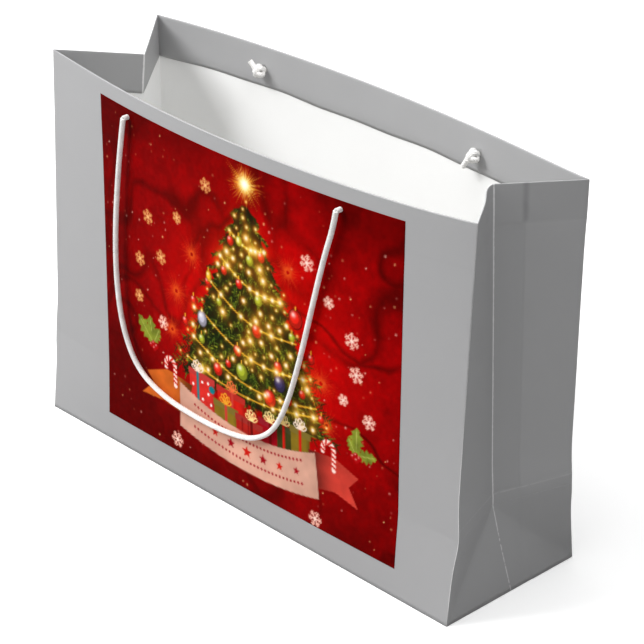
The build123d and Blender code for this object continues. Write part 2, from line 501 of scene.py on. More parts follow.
@dataclass(frozen=True)
class BarePaper:
    """Uncoated paper or card, with a soft tooth."""

    name: str
    colour: Colour = rgb(243, 243, 242)
    roughness: float = 0.82
    mottle: float = 0.03
    tooth: float = 0.2

    def build(self, groups: dict[str, bpy.types.NodeTree]) -> bpy.types.Material:
        """Makes the material.

        Args:
            groups: the shared node groups.

        Returns:
            The material.
        """
        material, wire = start_material(self.name)
        fibre = wire.add("ShaderNodeGroup", node_tree=groups["fibre"])
        fibre.inputs["Mottle"].default_value = self.mottle
        inputs = paper_surface(wire, fibre, (*self.colour, 1), 0.15, self.roughness)
        inputs["Specular IOR Level"] = 0.3
        end_material(wire, inputs, fibre.outputs["Height"], self.tooth, BUMP_DEPTH)
        return material


@dataclass(frozen=True)
class CordYarn:
    """Bright white twisted yarn with fine filaments."""

    name: str
    colour: Colour = rgb(250, 249, 247)
    hollow: Colour = rgb(222, 219, 216)
    roughness: float = 0.62

    def build(self) -> bpy.types.Material:
        """Makes the material.

        Returns:
            The material.
        """
        material, wire = start_material(self.name)
        place = wire.add("ShaderNodeTexCoord").outputs["Object"]
        streak = wire.noise(place, 1900.0, 3.0)
        slow = wire.noise(place, 160.0, 2.0)
        uneven = wire.math("MULTIPLY_ADD", slow, 0.4, wire.math("MULTIPLY", streak, 0.6))
        mask = wire.between(uneven, 0.3, 0.6)
        colour = wire.mix(mask, (*self.hollow, 1), (*self.colour, 1))
        rough = wire.math("MULTIPLY_ADD", wire.math("SUBTRACT", streak, 0.5), 0.2, self.roughness)
        inputs = {
            "Base Color": colour,
            "Roughness": rough,
            "Sheen Weight": 0.3,
            "Sheen Roughness": 0.4,
            "Specular IOR Level": 0.35,
        }
        end_material(wire, inputs, streak, 0.35, 0.3 * MM)
        return material


# ---------------------------------------------------------------- the flat sheet and the standing bag


@dataclass
class FlatSheet:
    """Turns a place on the flat sheet into a place on the standing bag.

    A place is how far along the sheet it is, from the front-left corner round the front, the right
    side, the back and the left side, and how far up it is from the floor.
    """

    half_width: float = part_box("front_wall")[1].x
    half_depth: float = 50 * MM
    height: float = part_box("front_wall")[1].z
    crease: float = 50 * MM
    crease_inset: float = 6 * MM
    crease_bow: float = 7 * MM
    inset: dict = field(default_factory=lambda: {Side.FRONT: 13.5 * MM, Side.BACK: 6.5 * MM})
    bow: dict = field(default_factory=lambda: {Side.FRONT: 18 * MM, Side.BACK: 13 * MM})
    crease_fold: float = 16.2 * MM
    apex_height: float = 47.2 * MM
    ridge: dict = field(
        default_factory=lambda: {
            Hand.LEFT: (131.3 * MM, 2.9 * MM, 223.4 * MM),
            Hand.RIGHT: (136.3 * MM, 5.9 * MM, 227.8 * MM),
        }
    )
    narrowing: float = 0.6 * MM
    widening: float = 1.8 * MM
    shift: float = 0.5 * MM
    twist: float = 1.7 * MM
    knee_bulge: float = 1.8 * MM
    knee_reach: float = 14 * MM
    curl: tuple[float, float, float] = (1.5 * MM, 1.1 * MM, 0.2 * MM)
    gusset_hem_line: float = 206.5 * MM
    hem: float = 25 * MM
    paper: float = 0.3 * MM
    fold_radius: float = 0.7 * MM
    pressed_line: float = 56 * MM
    seam_from_fold: float = 17 * MM
    hem_lift: float = 0.05 * MM
    overlap_lift: float = 0.22 * MM
    gusset_hem_lift: float = 0.18 * MM
    pressed_depth: float = 0.2 * MM
    wrinkle_lift: float = 0.35 * MM
    wave_lift: float = 0.16 * MM

    @property
    def wall(self) -> float:
        """The length of a wall along the sheet."""
        return 2 * self.half_width

    @property
    def gusset(self) -> float:
        """The length of half a gusset along the sheet."""
        return self.half_depth

    @property
    def around(self) -> float:
        """The whole length around the bag."""
        return 2 * self.wall + 4 * self.gusset

    def starts(self) -> dict[str, float]:
        """Where each face of the bag starts along the sheet."""
        right = self.wall
        back = right + 2 * self.gusset
        return {"front": 0.0, "right": right, "back": back, "left": back + self.wall}

    def wall_place(self, side: Side, x: np.ndarray, z: np.ndarray) -> np.ndarray:
        """Places on a bowed wall.

        Args:
            side: the front or the back.
            x: how far right of the middle.
            z: the height.

        Returns:
            One row of three for each place.
        """
        low = np.clip(z / self.crease, None, 1)
        high = np.clip((z - self.crease) / (self.height - self.crease), 0, None)
        corner = self.half_depth - low * self.crease_inset + high * (self.crease_inset - self.inset[side])
        out = low * self.crease_bow + high * (self.bow[side] - self.crease_bow)
        y = side.value * (corner + out * (1 - (x / self.half_width) ** 2))
        return np.stack([x, y, z], axis=-1)

    def side_place(self, hand: Hand, w: np.ndarray, z: np.ndarray) -> np.ndarray:
        """Places on a folded side.

        Args:
            hand: the left or the right.
            w: how far from the front corner towards the back one.
            z: how far up the sheet.

        Returns:
            One row of three for each place.
        """
        out = []
        for side in Side:
            a = np.clip(w if side is Side.FRONT else 2 * self.gusset - w, 0, None)
            share_w = a / self.gusset
            foot = np.array([self.half_width, side.value * self.half_depth, 0])
            knee = self.wall_place(side, np.array(self.half_width), np.array(self.crease))
            apex = np.array([self.half_width - self.crease_fold, 0, self.apex_height])
            top = self.wall_place(side, np.array(self.half_width), np.array(self.height))
            ridge = np.array(self.ridge[hand])
            s = z / self.crease
            facet = (
                foot * (1 - s)[..., None]
                + knee * (s - share_w)[..., None]
                + apex * share_w[..., None]
            )
            lean = np.array([-self.crease_fold, 0, self.apex_height]) / self.crease
            triangle = foot + a[..., None] * [0, -side.value, 0] + z[..., None] * lean
            t = ((z - self.crease) / (self.height - self.crease))[..., None]
            low_line = knee + (apex - knee) * share_w[..., None]
            high_line = top + (ridge - top) * share_w[..., None]
            upper = low_line + (high_line - low_line) * t
            if (hand, side) == (Hand.RIGHT, Side.FRONT):
                most = 0.0566  # the highest that the curve below reaches before it is divided
                bump = share_w**6 * (1 - share_w) / most
                upper = upper - (bump[..., None] * np.clip(t, 0, 1) ** 4) * np.array(self.curl)
            lower = np.where((s >= share_w)[..., None], facet, triangle)
            out.append(np.where((z > self.crease)[..., None], upper, lower))
        place = np.where((w <= self.gusset)[..., None], out[0], out[1])
        return place * [hand.value, 1, 1]

    def bare(self, u: np.ndarray, z: np.ndarray) -> np.ndarray:
        """Places on the sheet with sharp folds.

        Args:
            u: how far along the sheet.
            z: how far up the sheet.

        Returns:
            One row of three for each place.
        """
        u = np.mod(u, self.around)
        starts = self.starts()
        stops = dict(zip(starts, [*list(starts.values())[1:], self.around]))
        makers: dict[str, Callable] = {
            "front": lambda w, h: self.wall_place(Side.FRONT, w - self.half_width, h),
            "right": lambda w, h: self.side_place(Hand.RIGHT, w, h),
            "back": lambda w, h: self.wall_place(Side.BACK, self.half_width - w, h),
            "left": lambda w, h: self.side_place(Hand.LEFT, 2 * self.gusset - w, h),
        }
        out = np.zeros((*u.shape, 3))
        for name, make in makers.items():
            here = (u >= starts[name]) & (u < stops[name])
            if here.any():
                out[here] = make(u[here] - starts[name], z[here])
        return self.settled(out)

    def settled(self, place: np.ndarray) -> np.ndarray:
        """How the standing bag has settled: its mouth twisted a little, and its knees out.

        Args:
            place: one row of three for each place.

        Returns:
            The settled places.
        """
        x, y, z = place[..., 0], place[..., 1], place[..., 2]
        high = np.clip((z - self.crease) / (self.height - self.crease), 0, None)
        out = x / self.half_width
        spread = self.narrowing + self.widening
        front_corner = self.inset[Side.FRONT] - self.half_depth
        span = 2 * self.half_depth - self.inset[Side.FRONT] - self.inset[Side.BACK]
        wide = (spread * (y - front_corner) / span - self.narrowing) * high
        knee = self.knee_bulge * np.exp(-(((z - self.crease) / self.knee_reach) ** 2)) * np.abs(out) ** 6
        turned = high * (self.shift + self.twist * out) * out**6
        return np.stack([x + out * (wide + knee), y + turned, z], axis=-1)

    def relief(self, u: np.ndarray, z: np.ndarray) -> np.ndarray:
        """How far the sheet stands out from its plain shape, from gluing, handling and pressing.

        Args:
            u: how far along the sheet.
            z: how far up the sheet.

        Returns:
            The distance outwards for each place.
        """
        def step(value: np.ndarray, width: float) -> np.ndarray:
            """A soft step from 0 to 1 over a width, centred on 0."""
            return 0.5 + 0.5 * np.tanh(value / width)

        starts = self.starts()
        hem_edge = self.height - self.hem
        out = self.hem_lift * step(z - hem_edge, 0.5 * MM)
        seam = starts["right"] + self.gusset + self.seam_from_fold
        on_overlap = step(u - seam, 0.4 * MM) * step(starts["back"] - u - 1.5 * MM, 0.5 * MM)
        below_hem = step(self.gusset_hem_line - z, 0.5 * MM)
        out = out + self.overlap_lift * on_overlap * below_hem
        on_back_half = step(u - starts["right"] - self.gusset, MM) * step(starts["back"] - u, MM)
        on_hem = step(z - self.gusset_hem_line, 0.7 * MM)
        out = out + self.gusset_hem_lift * on_back_half * on_hem
        slope = (u - starts["right"]) * 0.02
        pressed = np.exp(-(((z - self.pressed_line - slope) / (0.7 * MM)) ** 2))
        out = out - self.pressed_depth * pressed * on_back_half
        wrinkle_u = u - starts["right"] - 68 * MM
        wrinkle_z = z - self.height + 14 * MM
        near = np.exp(-((wrinkle_u / (5 * MM)) ** 2) - (wrinkle_z / (6 * MM)) ** 2)
        out = out + self.wrinkle_lift * near * np.sin(wrinkle_u / (1.6 * MM) + wrinkle_z / (3 * MM))
        broad = np.sin(u / (61 * MM)) * np.sin(z / (47 * MM) + 0.7)
        wave = broad + 0.5 * np.sin(u / (33 * MM) + z / (52 * MM))
        fade = step(hem_edge - 8 * MM - z, 6 * MM) * step(z - 10 * MM, 5 * MM)
        return out + self.wave_lift * wave * fade

    def place(self, u: np.ndarray, z: np.ndarray) -> np.ndarray:
        """Places on the outside of the sheet, with its folds rounded.

        Args:
            u: how far along the sheet.
            z: how far up the sheet.

        Returns:
            One row of three for each place.
        """
        along = np.array([-1.0, -0.5, 0.0, 0.5, 1.0]) * self.fold_radius
        along_weight = np.array([1.0, 2.0, 2.5, 2.0, 1.0])
        up = np.array([-0.8, 0.0, 0.8]) * self.fold_radius
        up_weight = np.array([1.0, 1.6, 1.0])
        total = np.zeros((*u.shape, 3))
        for du, wu in zip(along, along_weight):
            for dz, wz in zip(up, up_weight):
                total += wu * wz * self.bare(u + du, z + dz)
        return total / (along_weight.sum() * up_weight.sum())

    def normal(self, u: np.ndarray, z: np.ndarray) -> np.ndarray:
        """The outward direction at places on the sheet.

        Args:
            u: how far along the sheet.
            z: how far up the sheet.

        Returns:
            One row of three, of length one, for each place.
        """
        small = 0.35 * MM
        here = self.place(u, z)
        out = np.cross(self.place(u + small, z) - here, here - self.place(u, z - small))
        return out / np.linalg.norm(out, axis=-1, keepdims=True)

    def lifted(self, u: np.ndarray, z: np.ndarray, by: np.ndarray | float) -> np.ndarray:
        """Places that stand off the sheet.

        Args:
            u: how far along the sheet.
            z: how far up the sheet.
            by: the distance outwards.

        Returns:
            One row of three for each place.
        """
        out = self.relief(u, z) + by
        return self.place(u, z) + self.normal(u, z) * out[..., None]


@dataclass
class PaperShell:
    """The folded sheet as closed thin pieces: two walls, four half gussets and two feet."""

    sheet: FlatSheet
    coated: dict[str, bpy.types.Material]
    bare: bpy.types.Material
    wall_step: float = 3.2 * MM
    gusset_step: float = 1.6 * MM
    rise_step: float = 2.4 * MM
    wall_hem_depth: float = 0.95 * MM
    gusset_hem_depth: float = 0.42 * MM
    hem_change: float = 5 * MM
    fold_steps: tuple[float, ...] = (0.0, 0.25 * MM, 0.6 * MM, 1.1 * MM, 1.9 * MM)
    hole_radius: float = 1.9 * MM
    hole_drop: float = 14 * MM
    hole_half_spacing: float = 84 * MM
    strip_depths: tuple[float, float] = (0.36 * MM, 0.72 * MM)
    strip_height: float = 19.0 * MM
    hem_flat: float = 20.5 * MM
    strip_end: float = 6 * MM
    least_row: float = 0.12 * MM
    mouth_room: float = 0.4 * MM

    def stretch(self, start: float, stop: float, step: float, mark: float | None = None) -> np.ndarray:
        """Places along the sheet from one fold to the next, closer together near both and near a mark.

        Args:
            start: the first fold.
            stop: the next one.
            step: the usual distance between places.
            mark: a place between them that gets its own close places.

        Returns:
            The places, both ends included.
        """
        if mark is not None:
            before = self.stretch(start, mark, step)
            return np.concatenate([before[:-1], self.stretch(mark, stop, step)])
        near = np.array(self.fold_steps)
        inner_start, inner_stop = start + near[-1], stop - near[-1]
        count = max(2, round((inner_stop - inner_start) / step))
        middle = np.linspace(inner_start, inner_stop, count + 1)
        return np.concatenate([start + near[:-1], middle, (stop - near[:-1])[::-1]])

    def hem_depth(self, u: np.ndarray) -> np.ndarray:
        """How far behind the outside the turned-in hem lies: deep over a stiffener, shallow on a gusset."""
        starts = self.sheet.starts()
        depth = np.full(u.shape, self.gusset_hem_depth)
        for start in (starts["front"], starts["back"]):
            inside = np.minimum(u - start, start + self.sheet.wall - u)
            share = np.clip(inside / self.hem_change, 0, 1)
            depth = depth + (self.wall_hem_depth - self.gusset_hem_depth) * share * share * (3 - 2 * share)
        return depth

    def rows(self, low: float, high: float) -> np.ndarray:
        """Heights up the outside of the sheet, closer together near the crease and the mouth."""
        regular = np.linspace(low, high, max(2, round((high - low) / self.rise_step)) + 1)
        marks = []
        sheet = self.sheet
        lines = (sheet.crease, sheet.height - sheet.hem, sheet.pressed_line, sheet.height)
        for fold in (*lines, sheet.gusset_hem_line):
            marks += [fold + sign * near for near in self.fold_steps for sign in (-1, 1)]
        both = np.concatenate([regular, [mark for mark in marks if low < mark < high]])
        both = np.unique(np.round(both, 6))
        kept = [both[0]]
        for value in both[1:-1]:
            if min(value - kept[-1], both[-1] - value) > self.least_row:
                kept.append(value)
        return np.array([*kept, both[-1]])

    def strip(
        self,
        name: str,
        u: np.ndarray,
        low: float,
        turned: bool,
        coated: bpy.types.Material,
        stop: float = 0.0,
    ) -> bpy.types.Object:
        """A closed piece of the sheet between two places along it.

        Args:
            name: the piece's name.
            u: the places along the sheet.
            low: where the piece starts, up the sheet.
            turned: whether it goes up to the mouth and has its hem turned in.
            coated: the outside's material.
            stop: where a piece that isn't turned ends, up the sheet.

        Returns:
            The piece.
        """
        sheet = self.sheet
        half = sheet.paper / 2
        depth = self.hem_depth(u)
        if not turned:
            z_rows = [np.full(u.shape, z) for z in self.rows(low, stop)]
            by_rows = [np.full(u.shape, -half) for _ in z_rows]
            rise = list(self.rows(low, stop))
        else:
            bend = (depth - half) / 2
            heights = self.rows(low, sheet.height - float(bend.max()) - half - self.mouth_room)
            z_rows = [np.full(u.shape, z) for z in heights]
            by_rows = [np.full(u.shape, -half) for _ in heights]
            rise = list(heights)
            for angle in np.linspace(0, math.pi, 9):
                z_rows.append(sheet.height - half - bend + bend * math.sin(angle))
                by_rows.append(-half - bend + bend * math.cos(angle))
                rise.append(sheet.height + (angle - math.pi / 2) * MM)
            hem_rows = np.linspace(2.0 * MM, sheet.hem, 12)
            wobble = 0.5 * MM * np.sin(u / (23 * MM)) + 0.3 * MM * np.sin(u / (9 * MM))
            for down in hem_rows:
                z_rows.append(sheet.height - down - wobble * (down / sheet.hem) ** 2)
                ease = np.clip((down - self.hem_flat) / (sheet.hem - self.hem_flat), 0, 1)
                by_rows.append(-depth + ease * (depth - self.gusset_hem_depth))
                rise.append(sheet.height + 2 * MM + down)
        z_grid, by_grid = np.array(z_rows), np.array(by_rows)
        middle = sheet.lifted(np.broadcast_to(u, z_grid.shape), z_grid, by_grid)
        across = np.gradient(middle, axis=1)
        upward = np.gradient(middle, axis=0)
        out = np.cross(across, upward)
        out /= np.maximum(np.linalg.norm(out, axis=-1, keepdims=True), 1e-12)
        outer, inner = middle + out * half, middle - out * half
        points, faces, outside_count = closed_slab(outer, inner)
        slots = np.ones(len(faces), int)
        slots[:outside_count] = 0
        flat = np.stack(np.meshgrid(u, np.array(rise)), -1)
        uvs = np.concatenate([flat.reshape(-1, 2)] * 2)
        return mesh_object(name, points, faces, [coated, self.bare], slots, uvs)

    def punch(self, piece: bpy.types.Object, side: Side) -> bpy.types.Object:
        """Cuts the two cord holes through a wall and its hem.

        Args:
            piece: the wall.
            side: the front or the back.

        Returns:
            The punched wall.
        """
        height = self.sheet.height - self.hole_drop
        count = 28
        near, far = 30 * MM, 70 * MM
        angles = np.linspace(0, 2 * math.pi, count, endpoint=False)
        across, upward = self.hole_radius * np.cos(angles), self.hole_radius * np.sin(angles)
        reach = np.array([0, side.value, 0])
        turn = -side.value
        cutters = []
        for x in (-self.hole_half_spacing, self.hole_half_spacing):
            ring = np.stack([x + across, angles * 0, height + upward], 1)
            points = np.concatenate([ring + reach * near, ring + reach * far])
            after = [(i + 1) % count for i in range(count)]
            sides = [[i, after[i], after[i] + count, i + count][::turn] for i in range(count)]
            caps = [list(range(count))[::-turn], [i + count for i in range(count)][::turn]]
            cutters.append(mesh_object("cutter", points, sides + caps, []))
        for cutter in cutters:
            cut = piece.modifiers.new("hole", "BOOLEAN")
            cut.object = cutter
            cut.solver = "EXACT"
        name = piece.name
        punched = plain_mesh(piece, name)
        for cutter in cutters:
            bpy.data.objects.remove(cutter)
        return punched

    def walls(self) -> list[bpy.types.Object]:
        """Builds the front and back walls with their hems."""
        made = []
        for side in Side:
            name = WALL_NAME[side]
            start = self.sheet.starts()[name]
            u = self.stretch(start, start + self.sheet.wall, self.wall_step)
            wall = self.strip(f"{name}_paper", u, 0.0, True, self.coated["walls"])
            wall = self.punch(wall, side)
            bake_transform(wall)
            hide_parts(f"{name}_wall", f"{name}_hem", f"{name}_lower_band")
            made.append(wall)
        return made

    def gussets(self) -> list[bpy.types.Object]:
        """Builds the four half gussets with their hems."""
        made = []
        for hand in Hand:
            for side in Side:
                first = (side is Side.FRONT) == (hand is Hand.RIGHT)
                start = self.sheet.starts()[HAND_NAME[hand]] + (0 if first else self.sheet.gusset)
                has_seam = (hand, side) == (Hand.RIGHT, Side.BACK)
                seam = start + self.sheet.seam_from_fold if has_seam else None
                u = self.stretch(start, start + self.sheet.gusset, self.gusset_step, seam)
                name = f"{HAND_NAME[hand]}_gusset_{WALL_NAME[side]}"
                half = self.strip(f"{name}_paper", u, self.sheet.crease, True, self.coated[HAND_NAME[hand]])
                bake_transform(half)
                nodes = [name, f"{name}_hem"]
                if has_seam:
                    nodes.append("seam_tab")
                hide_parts(*nodes)
                made.append(half)
        return made

    def strips(self, card: bpy.types.Material) -> list[bpy.types.Object]:
        """Builds the card strips that stiffen the mouth inside the hems.

        Args:
            card: the strips' material.

        Returns:
            The two strips.
        """
        made = []
        for side in Side:
            name = WALL_NAME[side]
            start = self.sheet.starts()[name]
            u = np.linspace(start + self.strip_end, start + self.sheet.wall - self.strip_end, 100)
            top = self.sheet.height - 0.9 * MM
            z = np.linspace(top - self.strip_height, top, 12)
            u_grid, z_grid = np.meshgrid(u, z)
            front, back = (self.sheet.lifted(u_grid, z_grid, -depth) for depth in self.strip_depths)
            points, faces, _ = closed_slab(front, back)
            strip = mesh_object(f"{name}_strip", points, faces, [card])
            strip = self.punch(strip, side)
            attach(strip, f"{name}_wall")
            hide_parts(f"{name}_stiffener")
            made.append(strip)
        return made

    def feet(self) -> list[bpy.types.Object]:
        """Builds the creased paper below the gussets."""
        made = []
        for hand in Hand:
            name = HAND_NAME[hand]
            start = self.sheet.starts()[name]
            u = np.concatenate(
                [
                    self.stretch(start, start + self.sheet.gusset, 1.0 * MM)[:-1],
                    self.stretch(start + self.sheet.gusset, start + 2 * self.sheet.gusset, 1.0 * MM),
                ]
            )
            foot = self.strip(f"{name}_foot_paper", u, 0.0, False, self.coated[name], self.sheet.crease)
            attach(foot, "base")
            corners = [f"{name}_{WALL_NAME[side]}_corner_facet" for side in Side]
            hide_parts(f"{name}_side_triangle", *corners)
            made.append(foot)
        return made


# ---------------------------------------------------------------- the printed picture


def srgb(red: float, green: float, blue: float) -> np.ndarray:
    """An ink, given as three shares of 255."""
    return np.array([red, green, blue]) / 255


class Inks(Enum):
    """The inks that the picture is printed with."""

    BRIGHT_RED = (206, 0, 4)
    DEEP_RED = (94, 0, 0)
    NIGHT_GREEN = (20, 24, 8)
    FIR = (34, 52, 14)
    LEAF = (86, 112, 30)
    LIME = (150, 160, 40)
    GOLD = (240, 168, 44)
    PALE_GOLD = (255, 226, 150)
    CANDLE = (255, 150, 36)
    SCARLET = (206, 30, 20)
    CREAM = (250, 226, 205)
    PARCHMENT = (222, 168, 146)
    ORANGE_BROWN = (203, 98, 34)
    CORAL = (200, 62, 50)
    CRIMSON = (160, 8, 24)
    TEAL = (24, 122, 130)
    OLIVE = (132, 108, 30)
    INDIGO = (44, 44, 84)
    SILVER = (172, 168, 184)
    WHITE = (255, 246, 240)

    @property
    def mix(self) -> np.ndarray:
        """The ink as shares of 255."""
        return srgb(*self.value)


@dataclass
class Painting:
    """Ink on a fine grid over the print. Sizes and places are millimetres on the wall."""

    left: float
    right: float
    low: float
    high: float
    cell: float = 0.72
    edge: float = 0.5

    def __post_init__(self) -> None:
        """Lays out the grid, with no ink on it."""
        self.x = np.linspace(self.left, self.right, round((self.right - self.left) / self.cell) + 1)
        self.z = np.linspace(self.low, self.high, round((self.high - self.low) / self.cell) + 1)
        self.ink = np.zeros((len(self.z), len(self.x), 3))

    def window(self, x0: float, x1: float, z0: float, z1: float) -> tuple:
        """The part of the grid inside a rectangle.

        Args:
            x0: its left.
            x1: its right.
            z0: its bottom.
            z1: its top.

        Returns:
            The rectangle's slice of the grid, and the x and z of its points.
        """
        a, b = np.searchsorted(self.x, [x0 - self.edge, x1 + self.edge])
        c, d = np.searchsorted(self.z, [z0 - self.edge, z1 + self.edge])
        x, z = np.meshgrid(self.x[a:b], self.z[c:d])
        return (slice(c, d), slice(a, b)), x, z

    def cover(self, part: tuple, mask: np.ndarray, colour: np.ndarray) -> None:
        """Lays an opaque ink wherever the mask is 1."""
        self.ink[part] += mask[..., None] * (colour - self.ink[part])

    def glow(self, x: float, z: float, radius: float, colour: np.ndarray, strength: float = 1.0) -> None:
        """Lightens a round patch softly, as a candle does."""
        reach = 2.4 * radius
        part, gx, gz = self.window(x - reach, x + reach, z - reach, z + reach)
        fall = strength * np.exp(-(((gx - x) ** 2 + (gz - z) ** 2) / radius**2))
        self.ink[part] = 1 - (1 - self.ink[part]) * (1 - fall[..., None] * colour)

    def stroke(
        self,
        points: Sequence[Sequence[float]],
        width: float | Sequence[float],
        colour: np.ndarray,
        strength: float = 1.0,
    ) -> None:
        """Draws a line through points.

        Args:
            points: the places that it goes through.
            width: its width, or its width at each point.
            colour: its ink.
            strength: how much of the ground it hides.
        """
        line = np.asarray(points, float)
        wide = np.broadcast_to(np.asarray(width, float), len(line))
        reach = wide.max() / 2
        low, high = line.min(0) - reach, line.max(0) + reach
        part, gx, gz = self.window(low[0], high[0], low[1], high[1])
        mask = np.zeros(gx.shape)
        for (ax, az), (bx, bz), wa, wb in zip(line, line[1:], wide, wide[1:]):
            dx, dz = bx - ax, bz - az
            share = np.clip(((gx - ax) * dx + (gz - az) * dz) / max(dx * dx + dz * dz, 1e-9), 0, 1)
            away = np.hypot(gx - ax - share * dx, gz - az - share * dz)
            half = (wa + (wb - wa) * share) / 2
            cover = np.clip((half - away) / self.edge + 0.5, 0, 1) * np.clip(half / 0.35, 0, 1)
            mask = np.maximum(mask, cover)
        self.cover(part, mask * strength, colour)

    def oval(self, x: float, z: float, rx: float, rz: float, colour: np.ndarray) -> None:
        """Fills an oval with one ink."""
        part, gx, gz = self.window(x - rx, x + rx, z - rz, z + rz)
        away = np.hypot((gx - x) / rx, (gz - z) / rz)
        self.cover(part, np.clip((1 - away) * min(rx, rz) / self.edge + 0.5, 0, 1), colour)

    def shape(self, points: Sequence[Sequence[float]], colour: np.ndarray, strength: float = 1.0) -> tuple:
        """Fills an outline.

        Args:
            points: the outline's corners, in order.
            colour: its ink.
            strength: how much of the ground it hides.

        Returns:
            The part of the grid it lies in, its mask, and the x and z of the points there.
        """
        line = np.asarray(points, float)
        low, high = line.min(0), line.max(0)
        part, gx, gz = self.window(low[0], high[0], low[1], high[1])
        inside = np.zeros(gx.shape, bool)
        near = np.full(gx.shape, 1e9)
        for (ax, az), (bx, bz) in zip(line, np.roll(line, -1, 0)):
            dx, dz = bx - ax, bz - az
            crosses = (az > gz) != (bz > gz)
            at = ax + (gz - az) * dx / (dz if abs(dz) > 1e-9 else 1e-9)
            inside ^= crosses & (gx < at)
            share = np.clip(((gx - ax) * dx + (gz - az) * dz) / max(dx * dx + dz * dz, 1e-9), 0, 1)
            near = np.minimum(near, np.hypot(gx - ax - share * dx, gz - az - share * dz))
        mask = np.clip(np.where(inside, near, -near) / self.edge + 0.5, 0, 1) * strength
        self.cover(part, mask, colour)
        return part, mask, gx, gz

    def tint(self, found: tuple, factor: np.ndarray) -> None:
        """Multiplies the ink inside a shape that was filled before."""
        part, mask = found[0], found[1]
        self.ink[part] = np.clip(self.ink[part] * (1 + mask[..., None] * (factor[..., None] - 1)), 0, 1)


def cloud(x: np.ndarray, z: np.ndarray, size: float, seed: int, octaves: int = 3) -> np.ndarray:
    """Smooth random mottling.

    Args:
        x: how far right each place is.
        z: how far up each place is.
        size: the size of the broadest patches.
        seed: which mottling.
        octaves: how many times it is repeated at half the size.

    Returns:
        A number from 0 to 1 for each place.
    """
    cells = 64
    lattice = np.random.default_rng(seed).random((cells, cells))
    total, weight = np.zeros(x.shape), 0.0
    for octave in range(octaves):
        u, v = x / size * 2**octave + 17.3 * octave, z / size * 2**octave + 9.1 * octave
        i, j = np.floor(u).astype(int), np.floor(v).astype(int)
        a, b = u - i, v - j
        a, b = a * a * (3 - 2 * a), b * b * (3 - 2 * b)
        i, j, right, above = i % cells, j % cells, (i + 1) % cells, (j + 1) % cells
        low = lattice[i, j] * (1 - a) + lattice[right, j] * a
        top = lattice[i, above] * (1 - a) + lattice[right, above] * a
        total += (low * (1 - b) + top * b) / 2**octave
        weight += 1 / 2**octave
    return total / weight


